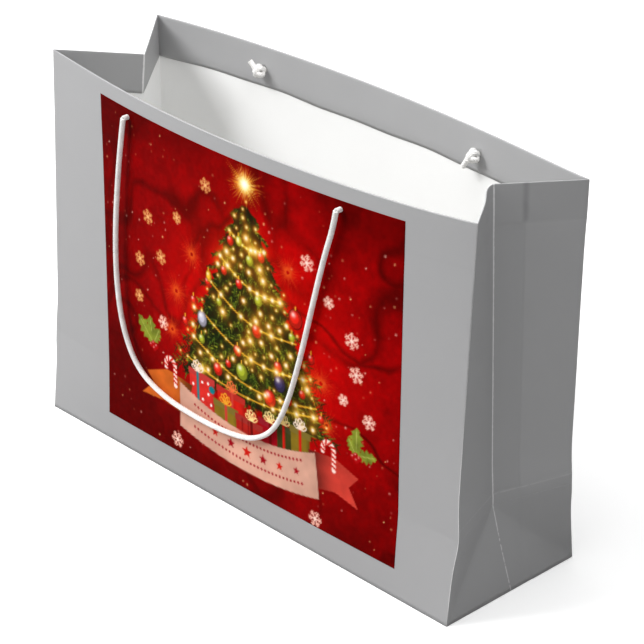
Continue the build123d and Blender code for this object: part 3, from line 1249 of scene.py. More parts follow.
@dataclass
class FestivePicture:
    """A lit fir with presents and a blank ribbon on crumpled red, printed on the front."""

    sheet: FlatSheet
    left: float = -112.0
    right: float = 125.0
    low: float = 17.0
    high: float = 219.0
    axis: float = 15.5
    tip: float = 200.0
    foot: float = 76.0
    half_foot: float = 65.0
    levels: int = 12
    seed: int = 12
    ink_height: float = 0.06 * MM
    edge_height: float = -0.02 * MM

    def __post_init__(self) -> None:
        """Lays out the painting and its random draws."""
        self.art = Painting(self.left, self.right, self.low, self.high)
        self.rng = np.random.default_rng(self.seed)
        self.balls: list[tuple[float, float, float]] = []

    def half_width(self, z: float) -> float:
        """Half the fir's width at a height."""
        return self.half_foot * max(0.0, (self.tip - z) / (self.tip - self.foot)) ** 0.9

    def ground(self) -> None:
        """Crumpled red, brightest beside the fir and deep in the corners."""
        art = self.art
        x, z = np.meshgrid(art.x, art.z)
        away = np.hypot((x - 30) / 150, (z - 122) / 125)
        light = np.clip(1.12 - away, 0, 1) + 0.62 * (cloud(x, z, 44, 3, 4) - 0.5)
        light += 0.25 * (cloud(x, z, 9, 5, 3) - 0.5)
        creases = np.zeros(x.shape)
        for seed, size in ((21, 70), (22, 52)):
            bend = 12 * cloud(x, z, 30, seed + 7)
            ridge = 1 - np.abs(2 * cloud(x + bend, z - bend, size, seed, 2) - 1)
            creases = np.maximum(creases, np.clip((ridge - 0.93) / 0.07, 0, 1) * cloud(x, z, 36, seed + 3))
        light -= 0.75 * creases
        share = np.clip(light, 0, 1)[..., None]
        art.ink = Inks.DEEP_RED.mix * (1 - share) + Inks.BRIGHT_RED.mix * share
        art.ink *= (0.9 + 0.12 * cloud(x, z, 2.2, 8, 1))[..., None]
        art.ink = np.clip(art.ink, 0, 1)

    def snow_dust(self, count: int = 260) -> None:
        """Fine pale specks over the ground."""
        for _ in range(count):
            x = self.rng.uniform(self.left + 3, self.right - 3)
            z = self.rng.uniform(self.low + 3, self.high - 3)
            pale = Inks.PALE_GOLD.mix if self.rng.random() < 0.5 else Inks.CREAM.mix
            self.art.glow(x, z, self.rng.uniform(0.35, 0.75), pale, self.rng.uniform(0.25, 0.8))

    def snowflake(self, x: float, z: float, radius: float, colour: np.ndarray) -> None:
        """A six-armed snowflake with barbs."""
        turn = self.rng.uniform(0, math.pi / 3)
        for arm in range(6):
            angle = turn + arm * math.pi / 3
            ex, ez = math.cos(angle), math.sin(angle)
            self.art.stroke([(x, z), (x + ex * radius, z + ez * radius)], 0.8, colour)
            for at, reach in ((0.5, 0.36), (0.78, 0.26)):
                bx, bz = x + ex * radius * at, z + ez * radius * at
                for side in (-1, 1):
                    slant = angle + side * math.pi / 3.4
                    barb = (bx + math.cos(slant) * radius * reach, bz + math.sin(slant) * radius * reach)
                    self.art.stroke([(bx, bz), barb], 0.7, colour)
        self.art.glow(x, z, radius * 0.4, colour, 0.8)

    def snow(self) -> None:
        """The snowflakes: golden ones high up, rosy white ones low down."""
        golden = ((-69, 159, 5), (-42, 168, 4), (-16, 196, 5), (-58, 138, 5), (-78, 130, 5), (-80, 106, 4.5))
        rosy = ((-58, 97, 5), (-49, 25, 5.5), (65, 22, 5.5), (61, 176, 5.5), (92, 141, 5.5), (76, 158, 4))
        rosy += ((95, 122, 5.5), (86, 104, 3.8), (104, 97, 5))
        for x, z, radius in golden:
            self.snowflake(x, z, 0.84 * radius, srgb(216, 142, 80))
        for x, z, radius in rosy:
            self.snowflake(x, z, 0.86 * radius, srgb(246, 186, 166))

    def sparkler(
        self, x: float, z: float, reach: float, colour: np.ndarray, rays: int, strength: float
    ) -> None:
        """A burst of fine rays."""
        for ray in range(rays):
            angle = 2 * math.pi * (ray + self.rng.uniform(-0.3, 0.3)) / rays
            far = reach * self.rng.uniform(0.5, 1.0)
            near = 0.12 * reach
            start = (x + near * math.cos(angle), z + near * math.sin(angle))
            stop = (x + far * math.cos(angle), z + far * math.sin(angle))
            self.art.stroke([start, stop], (0.75, 0.25), colour, strength)

    def boughs(self) -> None:
        """The fir's needles, in drooping boughs from the foot up."""
        art, rng = self.art, self.rng
        outline_z = np.linspace(self.foot - 3, self.tip - 6, 40)
        jag = 1.5 * np.sin(outline_z * 1.1) + rng.uniform(-1.2, 1.2, 40)
        sides = np.array([self.half_width(z) * 0.84 for z in outline_z]) + jag
        outline = [(self.axis - w, z) for w, z in zip(sides, outline_z)]
        outline += [(self.axis + w, z) for w, z in zip(sides[::-1], outline_z[::-1])]
        art.shape(outline, Inks.NIGHT_GREEN.mix, 0.94)
        for level in range(self.levels):
            up = level / self.levels
            base = self.foot + (self.tip - self.foot - 5) * up
            wide = self.half_width(base)
            scale = 1.15 - 0.75 * up
            for out in np.linspace(-1, 1, max(4, round(24 * (1 - up)))):
                out += rng.uniform(-0.05, 0.05)
                droop = 5 * scale * (1 - out * out)
                tip = np.array([self.axis + out * wide, base - droop + rng.uniform(-2, 2)])
                root = np.array([self.axis + out * wide * 0.3, base + 13 * scale])
                for along in np.arange(0.2, 1.02, 0.05):
                    place = root + (tip - root) * along + [0, 2.2 * scale * math.sin(math.pi * along)]
                    heading = math.atan2(tip[1] - root[1], tip[0] - root[0])
                    for side in (-1, 1):
                        angle = heading + side * rng.uniform(0.35, 0.95)
                        long = rng.uniform(2.4, 4.6) * scale
                        end = place + long * np.array([math.cos(angle), math.sin(angle)])
                        share = np.clip(along * rng.uniform(0.35, 1.1), 0, 1)
                        green = Inks.NIGHT_GREEN.mix * (1 - share) + Inks.FIR.mix * share
                        if rng.random() < 0.22 * along:
                            green = Inks.LEAF.mix
                        if rng.random() < 0.05:
                            green = Inks.LIME.mix
                        art.stroke([place, end], (0.9, 0.5), green, 0.85)

    def swags(self) -> list[tuple[float, float]]:
        """Golden garlands that swing across the fir.

        Returns:
            The places along them where lights hang.
        """
        lit = []
        loops = ((176, 4, 5), (158, 12, 7), (139, 14, 9), (118, 12, 11), (99, 8, 12), (84, -2, 9))
        for start_z, drop, sag in loops:
            left = self.axis - self.half_width(start_z) * 0.86
            right = self.axis + self.half_width(start_z - drop) * 0.88
            share = np.linspace(0, 1, 26)
            xs = left + (right - left) * share
            zs = start_z - drop * share - sag * np.sin(math.pi * share) * (1 - 0.25 * share)
            self.art.stroke(list(zip(xs, zs)), 1.0, Inks.GOLD.mix, 0.9)
            lit += list(zip(xs[::3], zs[::3]))
        return lit

    def bauble(self, x: float, z: float, radius: float, colour: np.ndarray, tall: float = 1.15) -> None:
        """A glass ball with a shaded rim and a highlight."""
        art = self.art
        self.balls.append((x, z, radius))
        art.oval(x, z, radius * 1.05, radius * tall * 1.05, colour * 0.4)
        art.oval(x, z, radius * 0.95, radius * tall * 0.95, colour * 0.85)
        bright = np.clip(colour * 1.15, 0, 1)
        art.oval(x - radius * 0.12, z + radius * 0.15, radius * 0.62, radius * tall * 0.62, bright)
        art.glow(x - radius * 0.3, z + radius * 0.45, radius * 0.34, Inks.WHITE.mix, 0.8)
        art.stroke([(x, z + radius * tall), (x, z + radius * tall + 1.6)], 0.9, Inks.GOLD.mix)

    def baubles(self) -> None:
        """The glass balls on the fir."""
        reds = ((3, 170, 2.6), (27, 168, 2.8), (-3, 150, 2.4), (52, 140, 5.0), (9, 146, 2.6), (22, 122, 3.6))
        reds += ((-17, 138, 2.4), (6, 104, 3.0), (-11, 86, 3.6), (-2, 93, 2.2), (31, 84, 4.6), (38, 106, 3.0))
        reds += ((56, 96, 2.4), (-38, 106, 2.6), (63, 120, 2.6), (46, 88, 2.4), (70, 86, 2.2))
        reds += ((-30, 122, 2.4),)
        greens = ((18, 163, 2.8), (9, 92, 4.6), (24, 141, 2.9), (49, 128, 2.4), (-8, 129, 2.2))
        greens += ((-24, 100, 2.6),)
        for x, z, radius in reds:
            self.bauble(x, z, radius, Inks.SCARLET.mix)
        for x, z, radius in greens:
            self.bauble(x, z, radius, Inks.LIME.mix)
        self.bauble(-23, 113, 3.8, Inks.SILVER.mix, 1.3)
        self.bauble(39, 96, 4.2, Inks.INDIGO.mix, 1.2)
        self.bauble(-16, 142, 2.2, Inks.GOLD.mix, 1.6)
        self.bauble(10, 172, 2.4, Inks.LIME.mix, 1.3)

    def lights(self, lit: list[tuple[float, float]]) -> None:
        """Warm lights along the garlands and among the needles.

        Args:
            lit: places that have a light for certain.
        """
        places = list(lit)
        tries = 0
        while len(places) < 135 and tries < 4000:
            tries += 1
            z = self.foot + (self.tip - self.foot) * self.rng.random() ** 1.3
            x = self.axis + self.rng.uniform(-1, 1) * self.half_width(z) * 1.02
            gap = min(math.hypot(x - a, z - b) for a, b in places)
            clear = all(math.hypot(x - a, z - b) > r + 1.6 for a, b, r in self.balls)
            if gap > 5.0 and clear:
                places.append((x, z))
        for x, z in places:
            size = self.rng.choice((0.5, 0.75, 1.0, 1.45), p=(0.4, 0.25, 0.22, 0.13))
            self.art.glow(x, z, 5.0 * size, Inks.CANDLE.mix * [1, 0.8, 0.5], 0.2)
            self.art.glow(x, z, 2.2 * size, Inks.CANDLE.mix, 0.8)
            self.art.glow(x, z, 1.15 * size, Inks.PALE_GOLD.mix, 1.0)
            if size > 0.9:
                self.sparkler(x, z, 3.6 * size, Inks.GOLD.mix, 9, 0.5)
                self.art.glow(x, z, 1.0, Inks.WHITE.mix, 1.0)

    def star(self) -> None:
        """The burst of light at the top."""
        x, z = self.axis + 0.5, 207.0
        self.sparkler(x, z, 17, Inks.GOLD.mix, 46, 0.85)
        self.sparkler(x, z, 10, Inks.PALE_GOLD.mix, 30, 0.8)
        self.art.glow(x, z, 6.5, Inks.CANDLE.mix, 0.75)
        self.art.glow(x, z, 3.4, Inks.PALE_GOLD.mix, 1.0)
        self.art.glow(x, z, 1.8, Inks.WHITE.mix, 1.0)

    def bow(self, x: float, z: float, size: float, colour: np.ndarray) -> None:
        """A bow of thin loops."""
        for angle in (-1.15, -0.5, 0.0, 0.5, 1.15):
            turn = np.linspace(0, 2 * math.pi, 15)
            loop = size * (1 - 0.18 * abs(angle))
            along, across = loop * (1 - np.cos(turn)) / 2, 0.24 * loop * np.sin(turn)
            xs = x + along * math.sin(angle) + across * math.cos(angle)
            zs = z + along * math.cos(angle) - across * math.sin(angle)
            self.art.stroke(list(zip(xs, zs)), 0.75, colour)

    def present(
        self,
        x0: float,
        x1: float,
        top: float,
        colour: np.ndarray,
        ribbon: np.ndarray,
        at: float,
        bow: np.ndarray,
    ) -> None:
        """A wrapped box that stands behind the ribbon.

        Args:
            x0: its left.
            x1: its right.
            top: its top.
            colour: its paper.
            ribbon: its ribbon.
            at: where the ribbon goes up it, as a share of its width.
            bow: its bow.
        """
        bottom = 50.0
        found = self.art.shape([(x0, bottom), (x1, bottom - 1.5), (x1, top - 1.0), (x0, top)], colour)
        gx, gz = found[2], found[3]
        self.art.tint(found, 0.9 + 0.2 * cloud(gx, gz, 5, 31) - 0.22 * np.clip((gx - x1 + 3) / 3, 0, 1))
        lid = [(x0 - 0.8, top - 4), (x1 + 0.8, top - 5), (x1 + 0.8, top - 0.8), (x0 - 0.8, top)]
        self.art.shape(lid, colour * 0.8 + 0.08)
        middle = x0 + (x1 - x0) * at
        self.art.stroke([(middle, bottom), (middle, top - 0.5)], 2.0, ribbon)
        self.bow(middle, top, 6.5, bow)

    def presents(self) -> None:
        """The row of wrapped boxes."""
        art = self.art
        self.present(-12, 10, 76, Inks.SCARLET.mix, Inks.CORAL.mix, 0.55, srgb(240, 110, 60))
        self.present(22, 39, 69, Inks.CRIMSON.mix, srgb(120, 10, 10), 0.5, Inks.PALE_GOLD.mix)
        self.present(36, 49, 72, srgb(60, 60, 24), Inks.SCARLET.mix, 0.4, Inks.PALE_GOLD.mix)
        self.present(47, 61, 74, Inks.OLIVE.mix, Inks.SCARLET.mix, 0.5, Inks.CREAM.mix)
        self.present(-36, -15, 78, srgb(214, 46, 40), Inks.TEAL.mix, 0.34, Inks.CREAM.mix)
        for x, z in ((-33, 68), (-25, 72), (-20, 66), (-25, 61), (-33, 60), (-18, 60), (-20, 73)):
            art.oval(x, z, 0.9, 0.9, Inks.WHITE.mix)
        art.oval(-17, 70, 2.4, 2.4, Inks.TEAL.mix)
        self.present(-15, 4, 66, Inks.OLIVE.mix, Inks.CORAL.mix, 0.5, Inks.GOLD.mix)
        self.present(3, 24, 64, srgb(176, 34, 26), srgb(110, 14, 12), 0.6, Inks.PALE_GOLD.mix)
        for x in (8, 13):
            art.stroke([(x, 50), (x, 62)], 0.8, srgb(110, 14, 12), 0.8)

    def ribbon(self) -> None:
        """The blank parchment ribbon with its forked tails, and a plain row of stars between beads."""
        art = self.art
        left = ((-34, 66), (-56, 68), (-75, 60), (-70, 55), (-72, 51.5), (-80, 44), (-60, 46), (-40, 44))
        right = ((60, 64), (80, 66), (97, 60), (90, 52), (97, 41), (80, 45), (66, 42))
        for outline, ink, dark in ((left, Inks.ORANGE_BROWN.mix, -36), (right, Inks.CORAL.mix, 63)):
            found = art.shape(outline, ink)
            shade = 1 - 0.45 * np.exp(-(((found[2] - dark) / 9) ** 2))
            art.tint(found, shade * (0.88 + 0.26 * cloud(found[2], found[3], 7, 41)))
        xs = np.linspace(-1, 1, 25)
        top = [(11 + 54 * s - 2.0 * (s < 0) * s * s, 53.5 + 10.5 * s * s - 0.5 * s) for s in xs]
        bottom = [(11 + 57 * s, 28.5 + 7.0 * s * s) for s in xs]
        found = art.shape(top + bottom[::-1], Inks.PARCHMENT.mix)
        gx, gz = found[2], found[3]
        art.tint(found, 0.9 + 0.22 * cloud(gx, gz, 12, 43) - 0.1 * np.abs(gx - 11) / 57)
        red = Inks.CRIMSON.mix
        for share in np.linspace(-0.8, 0.8, 31):
            art.oval(11 + 55 * share, 35.4 + 7.2 * share**2, 0.8, 0.8, red)
            art.oval(11 + 54 * share, 48.4 + 9.6 * share**2, 0.8, 0.8, red)
        for index in range(-3, 4):
            x, size = 11 + 13.2 * index, 3.9 - 0.45 * abs(index)
            z = 41.8 + 8.4 * (index / 4.1) ** 2
            points = []
            for corner in range(10):
                angle = math.pi / 2 + corner * math.pi / 5
                reach = size if corner % 2 == 0 else 0.45 * size
                points.append((x + reach * math.cos(angle), z + reach * math.sin(angle)))
            art.shape(points, red if index % 2 else Inks.SCARLET.mix)

    def cane(self, x: float, z: float, turn: int) -> None:
        """A striped candy cane."""
        hook = np.linspace(math.pi, 0, 10)
        line = [(x + turn * (4 + 4 * math.cos(a)), z + 4 * math.sin(a)) for a in hook]
        line = np.array([(x, z - 2.5)] + line + [(x + turn * 8, z - drop) for drop in (3, 6, 9, 12)])
        self.art.stroke(line, 3.0, srgb(255, 226, 214))
        steps = np.concatenate([[0], np.cumsum(np.hypot(*np.diff(line, axis=0).T))])
        for at in np.arange(1.0, steps[-1], 3.0):
            px, pz = np.interp(at, steps, line[:, 0]), np.interp(at, steps, line[:, 1])
            qx, qz = np.interp(at + 0.5, steps, line[:, 0]), np.interp(at + 0.5, steps, line[:, 1])
            ahead = np.array([qx - px, qz - pz]) / max(math.hypot(qx - px, qz - pz), 1e-6)
            across = np.array([-ahead[1], ahead[0]]) * 1.3 + ahead * 0.7
            stripe = [(px - across[0], pz - across[1]), (px + across[0], pz + across[1])]
            self.art.stroke(stripe, 1.3, Inks.SCARLET.mix)

    def holly(self, x: float, z: float, leaves: Sequence[tuple[float, float]]) -> None:
        """Spiny leaves and red berries.

        Args:
            x: the sprig's middle.
            z: its height.
            leaves: each leaf's direction in degrees and its length.
        """
        for degrees, long in leaves:
            heading = math.radians(degrees)
            ex, ez = math.cos(heading), math.sin(heading)
            outline = []
            for side in (1, -1):
                shares = np.linspace(0.04, 1, 10) if side == 1 else np.linspace(1, 0.04, 10)
                for index, share in enumerate(shares):
                    spine = 1.35 if index % 2 else 0.75
                    across = side * 0.24 * long * math.sin(math.pi * share) ** 0.8 * spine
                    outline.append((x + ex * long * share - ez * across, z + ez * long * share + ex * across))
            found = self.art.shape(outline, srgb(124, 134, 44))
            self.art.tint(found, 0.75 + 0.5 * cloud(found[2], found[3], 4, 51))
            vein = [(x, z), (x + ex * long * 0.85, z + ez * long * 0.85)]
            self.art.stroke(vein, 0.6, srgb(190, 190, 100), 0.8)
        for dx, dz in ((0, 0), (2.6, -1.2), (0.6, -3.0), (-2.2, -1.6)):
            self.art.oval(x + dx, z + dz, 1.7, 1.7, srgb(176, 10, 14))
            self.art.glow(x + dx - 0.5, z + dz + 0.6, 0.6, Inks.CREAM.mix, 0.7)

    def paint(self) -> None:
        """Prints the layers in order, from the ground to the lights."""
        self.ground()
        self.art.glow(self.axis, 120, 62, srgb(150, 20, 0), 0.5)
        self.snow_dust()
        self.snow()
        bursts = ((-30, 150, 13), (47, 166, 13), (-45, 122, 14), (70, 108, 14), (74, 84, 12), (-50, 96, 12))
        for x, z, reach in bursts:
            self.sparkler(x, z, reach, srgb(226, 84, 26), 40, 0.6)
        self.boughs()
        lit = self.swags()
        self.baubles()
        self.lights(lit)
        self.star()
        self.presents()
        self.ribbon()
        self.cane(-57, 72, 1)
        self.cane(71, 70, 1)
        self.holly(-68, 80, ((100, 17), (135, 19), (62, 13)))
        self.holly(95, 74, ((88, 17), (122, 11), (12, 15)))

    def film(self, material: bpy.types.Material) -> bpy.types.Object:
        """Lays the painting on the front wall as a film of ink.

        Args:
            material: the ink's material.

        Returns:
            The film.
        """
        art = self.art
        x = np.concatenate([art.x[:1], art.x, art.x[-1:]]) * MM
        z = np.concatenate([art.z[:1], art.z, art.z[-1:]]) * MM
        x_grid, z_grid = np.meshgrid(x, z)
        by = np.full(x_grid.shape, self.ink_height)
        by[0] = by[-1] = self.edge_height
        by[:, 0] = by[:, -1] = self.edge_height
        place = self.sheet.lifted(x_grid + self.sheet.half_width, z_grid, by)
        n_rows, n_cols = x_grid.shape
        number = np.arange(n_rows * n_cols).reshape(n_rows, n_cols)
        corners = [number[:-1, :-1], number[:-1, 1:], number[1:, 1:], number[1:, :-1]]
        faces = np.stack(corners, -1).reshape(-1, 4)
        shares_along = (x_grid - x[0]) / (x[-1] - x[0])
        shares_up = (z_grid - z[0]) / (z[-1] - z[0])
        uvs = np.stack([shares_along, shares_up], -1).reshape(-1, 2)
        film = mesh_object("front_print", place.reshape(-1, 3), faces, [material], uvs=uvs)
        shares = np.pad(art.ink, ((1, 1), (1, 1), (0, 0)), "edge").reshape(-1, 3)
        linear = to_linear(shares)
        colours = np.concatenate([linear, np.ones((len(linear), 1))], axis=1)
        layer = film.data.color_attributes.new(name="Ink", type="FLOAT_COLOR", domain="POINT")
        layer.data.foreach_set("color", colours.astype(np.float32).ravel())
        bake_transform(film)
        return film


@dataclass(frozen=True)
class PrintedInk:
    """Ink with almost no gloss, that shows the paper's fibres through it."""

    name: str
    roughness: float = 0.5

    def build(self, groups: dict[str, bpy.types.NodeTree]) -> bpy.types.Material:
        """Makes the material.

        Args:
            groups: the shared node groups.

        Returns:
            The material.
        """
        material, wire = start_material(self.name)
        ink = wire.add("ShaderNodeAttribute", attribute_name="Ink").outputs["Color"]
        fibre = wire.add("ShaderNodeGroup", node_tree=groups["fibre"])
        fibre.inputs["Mottle"].default_value = 0.12
        fibre.inputs["Scale"].default_value = 3.0
        inputs = paper_surface(wire, fibre, ink, 0.15, self.roughness)
        inputs["Specular IOR Level"] = 0.012
        end_material(wire, inputs, fibre.outputs["Height"], 0.12, BUMP_DEPTH)
        return material


# ---------------------------------------------------------------- bottom


@dataclass
class BagBottom:
    """The loose board and the glued flaps, which keep their solids and get their finishes."""

    card: bpy.types.Material
    coated: bpy.types.Material

    def dress(self) -> None:
        """Gives each node its material."""
        for name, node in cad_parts.items():
            finish = None
            if name == "base_board":
                finish = self.card
            elif name.startswith("bottom_flap"):
                finish = self.coated
            if finish is not None:
                node.data.materials.clear()
                node.data.materials.append(finish)


# ---------------------------------------------------------------- handles


def twisted_cord_tree(yarn: bpy.types.Material) -> bpy.types.NodeTree:
    """Geometry nodes that lay a rope's strands around a route.

    Args:
        yarn: the strands' material.

    Returns:
        A tree with the inputs Route, Strands, Strand radius, Lay radius, Pitch and Step.
    """
    tree = bpy.data.node_groups.new("Twisted cord", "GeometryNodeTree")
    for label, kind, value in (
        ("Route", "NodeSocketGeometry", None),
        ("Strands", "NodeSocketInt", 8),
        ("Strand radius", "NodeSocketFloat", 0.54 * MM),
        ("Lay radius", "NodeSocketFloat", 1.02 * MM),
        ("Pitch", "NodeSocketFloat", 12 * MM),
        ("Step", "NodeSocketFloat", 0.8 * MM),
    ):
        socket = tree.interface.new_socket(label, in_out="INPUT", socket_type=kind)
        if value is not None:
            socket.default_value = value
    tree.interface.new_socket("Geometry", in_out="OUTPUT", socket_type="NodeSocketGeometry")
    source, sink = tree.nodes.new("NodeGroupInput"), tree.nodes.new("NodeGroupOutput")
    wire = Wiring(tree)
    even = wire.add(
        "GeometryNodeResampleCurve",
        {"Curve": source.outputs["Route"], "Length": source.outputs["Step"]},
        mode="LENGTH",
    )
    length = wire.add("GeometryNodeSplineParameter").outputs["Length"]
    tangent = wire.add("GeometryNodeInputTangent").outputs[0]
    normal = wire.add("GeometryNodeInputNormal").outputs[0]
    kept: bpy.types.NodeSocket = even.outputs[0]
    held = []
    for value, kind in ((length, "FLOAT"), (tangent, "FLOAT_VECTOR"), (normal, "FLOAT_VECTOR")):
        capture = tree.nodes.new("GeometryNodeCaptureAttribute")
        capture.domain = "POINT"
        capture.capture_items.new("FLOAT" if kind == "FLOAT" else "VECTOR", "Kept")
        tree.links.new(kept, capture.inputs["Geometry"])
        tree.links.new(value, capture.inputs["Kept"])
        kept = capture.outputs["Geometry"]
        held.append(capture.outputs["Kept"])
    length, tangent, normal = held
    copies = wire.add(
        "GeometryNodeDuplicateElements",
        {"Geometry": kept, "Amount": source.outputs["Strands"]},
        domain="SPLINE",
    )
    share = wire.math("DIVIDE", copies.outputs["Duplicate Index"], source.outputs["Strands"])
    turns = wire.math("ADD", wire.math("DIVIDE", length, source.outputs["Pitch"]), share)
    angle = wire.math("MULTIPLY", turns, 2 * math.pi)
    side = wire.vector("CROSS_PRODUCT", {0: tangent, 1: normal})
    reach = source.outputs["Lay radius"]
    away = [wire.math("MULTIPLY", wire.math(part, angle), reach) for part in ("COSINE", "SINE")]
    over = wire.vector("SCALE", {0: normal, "Scale": away[0]})
    beside = wire.vector("SCALE", {0: side, "Scale": away[1]})
    offset = wire.vector("ADD", {0: over, 1: beside})
    laid = wire.add("GeometryNodeSetPosition", {"Geometry": copies.outputs[0], "Offset": offset})
    section = wire.add(
        "GeometryNodeCurvePrimitiveCircle", {"Resolution": 7, "Radius": source.outputs["Strand radius"]}
    )
    tube = wire.add(
        "GeometryNodeCurveToMesh",
        {"Curve": laid.outputs[0], "Profile Curve": section.outputs[0], "Fill Caps": True},
    )
    real = wire.add("GeometryNodeRealizeInstances", {"Geometry": tube.outputs[0]})
    smooth = wire.add("GeometryNodeSetShadeSmooth", {"Geometry": real.outputs[0]})
    painted = wire.add("GeometryNodeSetMaterial", {"Geometry": smooth.outputs[0], "Material": yarn})
    tree.links.new(painted.outputs[0], sink.inputs["Geometry"])
    return tree


def route_curve(name: str, points: Sequence[Sequence[float]]) -> bpy.types.Object:
    """A smooth curve with the given control points.

    Args:
        name: the curve's name.
        points: the control points.

    Returns:
        The curve object.
    """
    curve = bpy.data.curves.new(name, "CURVE")
    curve.dimensions = "3D"
    curve.resolution_u = 14
    spline = curve.splines.new("NURBS")
    spline.points.add(len(points) - 1)
    for point, place in zip(spline.points, points):
        point.co = (*place, 1)
    spline.order_u = 3
    spline.use_endpoint_u = True
    made = bpy.data.objects.new(name, curve)
    bpy.context.scene.collection.objects.link(made)
    return made


def route_line(curve: bpy.types.Object) -> np.ndarray:
    """The points down the middle of a route.

    Args:
        curve: a curve object with no bevel.

    Returns:
        One row of three for each point.
    """
    mesh = bpy.data.meshes.new_from_object(curve)
    line = np.array([tuple(vertex.co) for vertex in mesh.vertices])
    bpy.data.meshes.remove(mesh)
    return line


@dataclass
class RopeHandles:
    """The two cord handles and the four knots that hold them."""

    yarn: bpy.types.Material
    sheet: FlatSheet
    diameter: float = 3.2 * MM
    half_spacing: float = 84 * MM
    height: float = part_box("front_wall")[1].z - 14 * MM
    knot_radius: float = 3.7 * MM
    knot_filling: float = 0.4
    knot_seat: float = 5.0 * MM
    knot_turns: float = 3.6
    knot_lean: float = 0.27
    knot_depth: float = 0.72
    first_turn: float = 0.5
    turn_step: float = 0.11
    tail_out: float = 2.4 * MM
    tail_lift: dict = field(default_factory=lambda: {Hand.LEFT: 2.4 * MM, Hand.RIGHT: -4.2 * MM})
    end_drop: float = 9 * MM
    end_drift: tuple[float, float] = (1.8 * MM, 1.6 * MM)
    routes: dict = field(
        default_factory=lambda: {
            Side.FRONT: (
                (-90.5, 178.0),
                (-95.0, 141.0),
                (-95.5, 109.0),
                (-91.5, 82.0),
                (-80.0, 60.5),
                (-58.0, 51.0),
                (-29.0, 48.5),
                (-2.0, 49.5),
                (19.5, 54.0),
                (36.0, 66.5),
                (47.0, 88.0),
                (56.5, 117.0),
                (65.5, 150.0),
                (75.0, 184.0),
            ),
            Side.BACK: (
                (-85.5, 179.0),
                (-84.0, 143.0),
                (-79.0, 110.0),
                (-69.0, 81.0),
                (-51.0, 60.0),
                (-27.0, 49.5),
                (0.0, 47.0),
                (26.0, 50.5),
                (49.0, 61.0),
                (67.0, 80.5),
                (78.0, 108.0),
                (84.5, 141.0),
                (86.0, 178.0),
            ),
        }
    )

    def strands(self, name: str, points: Sequence[Sequence[float]]) -> tuple[bpy.types.Object, np.ndarray]:
        """A twisted cord along control points.

        Args:
            name: the piece's name.
            points: the route's control points.

        Returns:
            The cord as a plain mesh, and the points down its middle.
        """
        curve = route_curve(f"{name}_route", points)
        line = route_line(curve)
        curve.modifiers.new("twist", "NODES").node_group = self.tree
        return plain_mesh(curve, name), line

    def handle(self, side: Side) -> None:
        """Builds one handle."""
        name = WALL_NAME[side]
        low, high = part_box(f"{name}_handle")
        y = (low.y + high.y) / 2
        inner = [(x * MM, y, z * MM) for x, z in self.routes[side]]
        start = (-self.half_spacing, y, self.height)
        stop = (self.half_spacing, y, self.height)
        below = self.height - self.end_drop
        points = [
            start,
            (start[0] - self.end_drift[0], y, below),
            *inner,
            (stop[0] - self.end_drift[1], y, below),
            stop,
        ]
        cord, line = self.strands(f"{name}_handle_cord", points)
        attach(cord, f"{name}_handle")
        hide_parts(f"{name}_handle")

    def knot(self, side: Side, hand: Hand) -> None:
        """Builds one knot, with the cord's end through the wall and its tail."""
        name = f"{WALL_NAME[side]}_{HAND_NAME[hand]}_knot"
        cord_low, cord_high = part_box(f"{WALL_NAME[side]}_handle")
        elbow = (cord_low.y + cord_high.y) / 2
        x = hand.value * self.half_spacing
        start = self.sheet.starts()[WALL_NAME[side]]
        along = start + self.sheet.half_width - side.value * x
        wall = self.sheet.place(np.array([along]), np.array([self.height]))[0]
        middle = Vector((x, wall[1] - side.value * self.knot_seat, self.height))
        loops = []
        for turn in np.arange(self.first_turn, self.knot_turns, self.turn_step) * 2 * math.pi:
            lean = self.knot_lean * turn
            round_it = self.knot_radius * (1 - self.knot_filling * turn / (2 * math.pi * self.knot_turns))
            across = math.cos(turn) * round_it
            away = self.knot_depth * math.sin(turn) * round_it
            offset = Vector((across * math.cos(lean), side.value * away, across * math.sin(lean)))
            loops.append(middle + offset)
        through = [
            Vector((middle.x, elbow, self.height)),
            Vector((middle.x, elbow - side.value * 1.5 * MM, self.height)),
            Vector((middle.x, middle.y + side.value * 3.4 * MM, self.height)),
        ]
        corner = middle + Vector((-0.8, -side.value * 0.4, -hand.value * 0.8)) * self.knot_radius
        tip = corner + Vector((-self.tail_out, -side.value * 0.6 * MM, self.tail_lift[hand]))
        tail = [corner, tip]
        points = [tuple(p) for p in [*through, *loops, *tail]]
        piece, _ = self.strands(f"{name}_cord", points)
        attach(piece, f"{WALL_NAME[side]}_wall")
        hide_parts(name)

    def build(self) -> None:
        """Builds both handles and all four knots."""
        self.tree = twisted_cord_tree(self.yarn)
        for side in Side:
            self.handle(side)
            for hand in Hand:
                self.knot(side, hand)


# ---------------------------------------------------------------- studio


@dataclass(frozen=True)
class Lamp:
    """One soft square light: its place, its width, its power in watts and the point that it faces."""

    name: str
    place: tuple[float, float, float]
    size: float
    power: float
    aim: tuple[float, float, float] = (0.0, 0.0, 0.12)

    def hang(self) -> None:
        """Makes the light and turns it to its aim."""
        lamp = bpy.data.lights.new(self.name, "AREA")
        lamp.shape = "SQUARE"
        lamp.size = self.size
        lamp.energy = self.power
        made = bpy.data.objects.new(self.name, lamp)
        made.location = self.place
        made.visible_camera = False
        turn = (Vector(self.aim) - Vector(self.place)).to_track_quat("-Z", "Y")
        made.rotation_euler = turn.to_euler()
        bpy.context.scene.collection.objects.link(made)


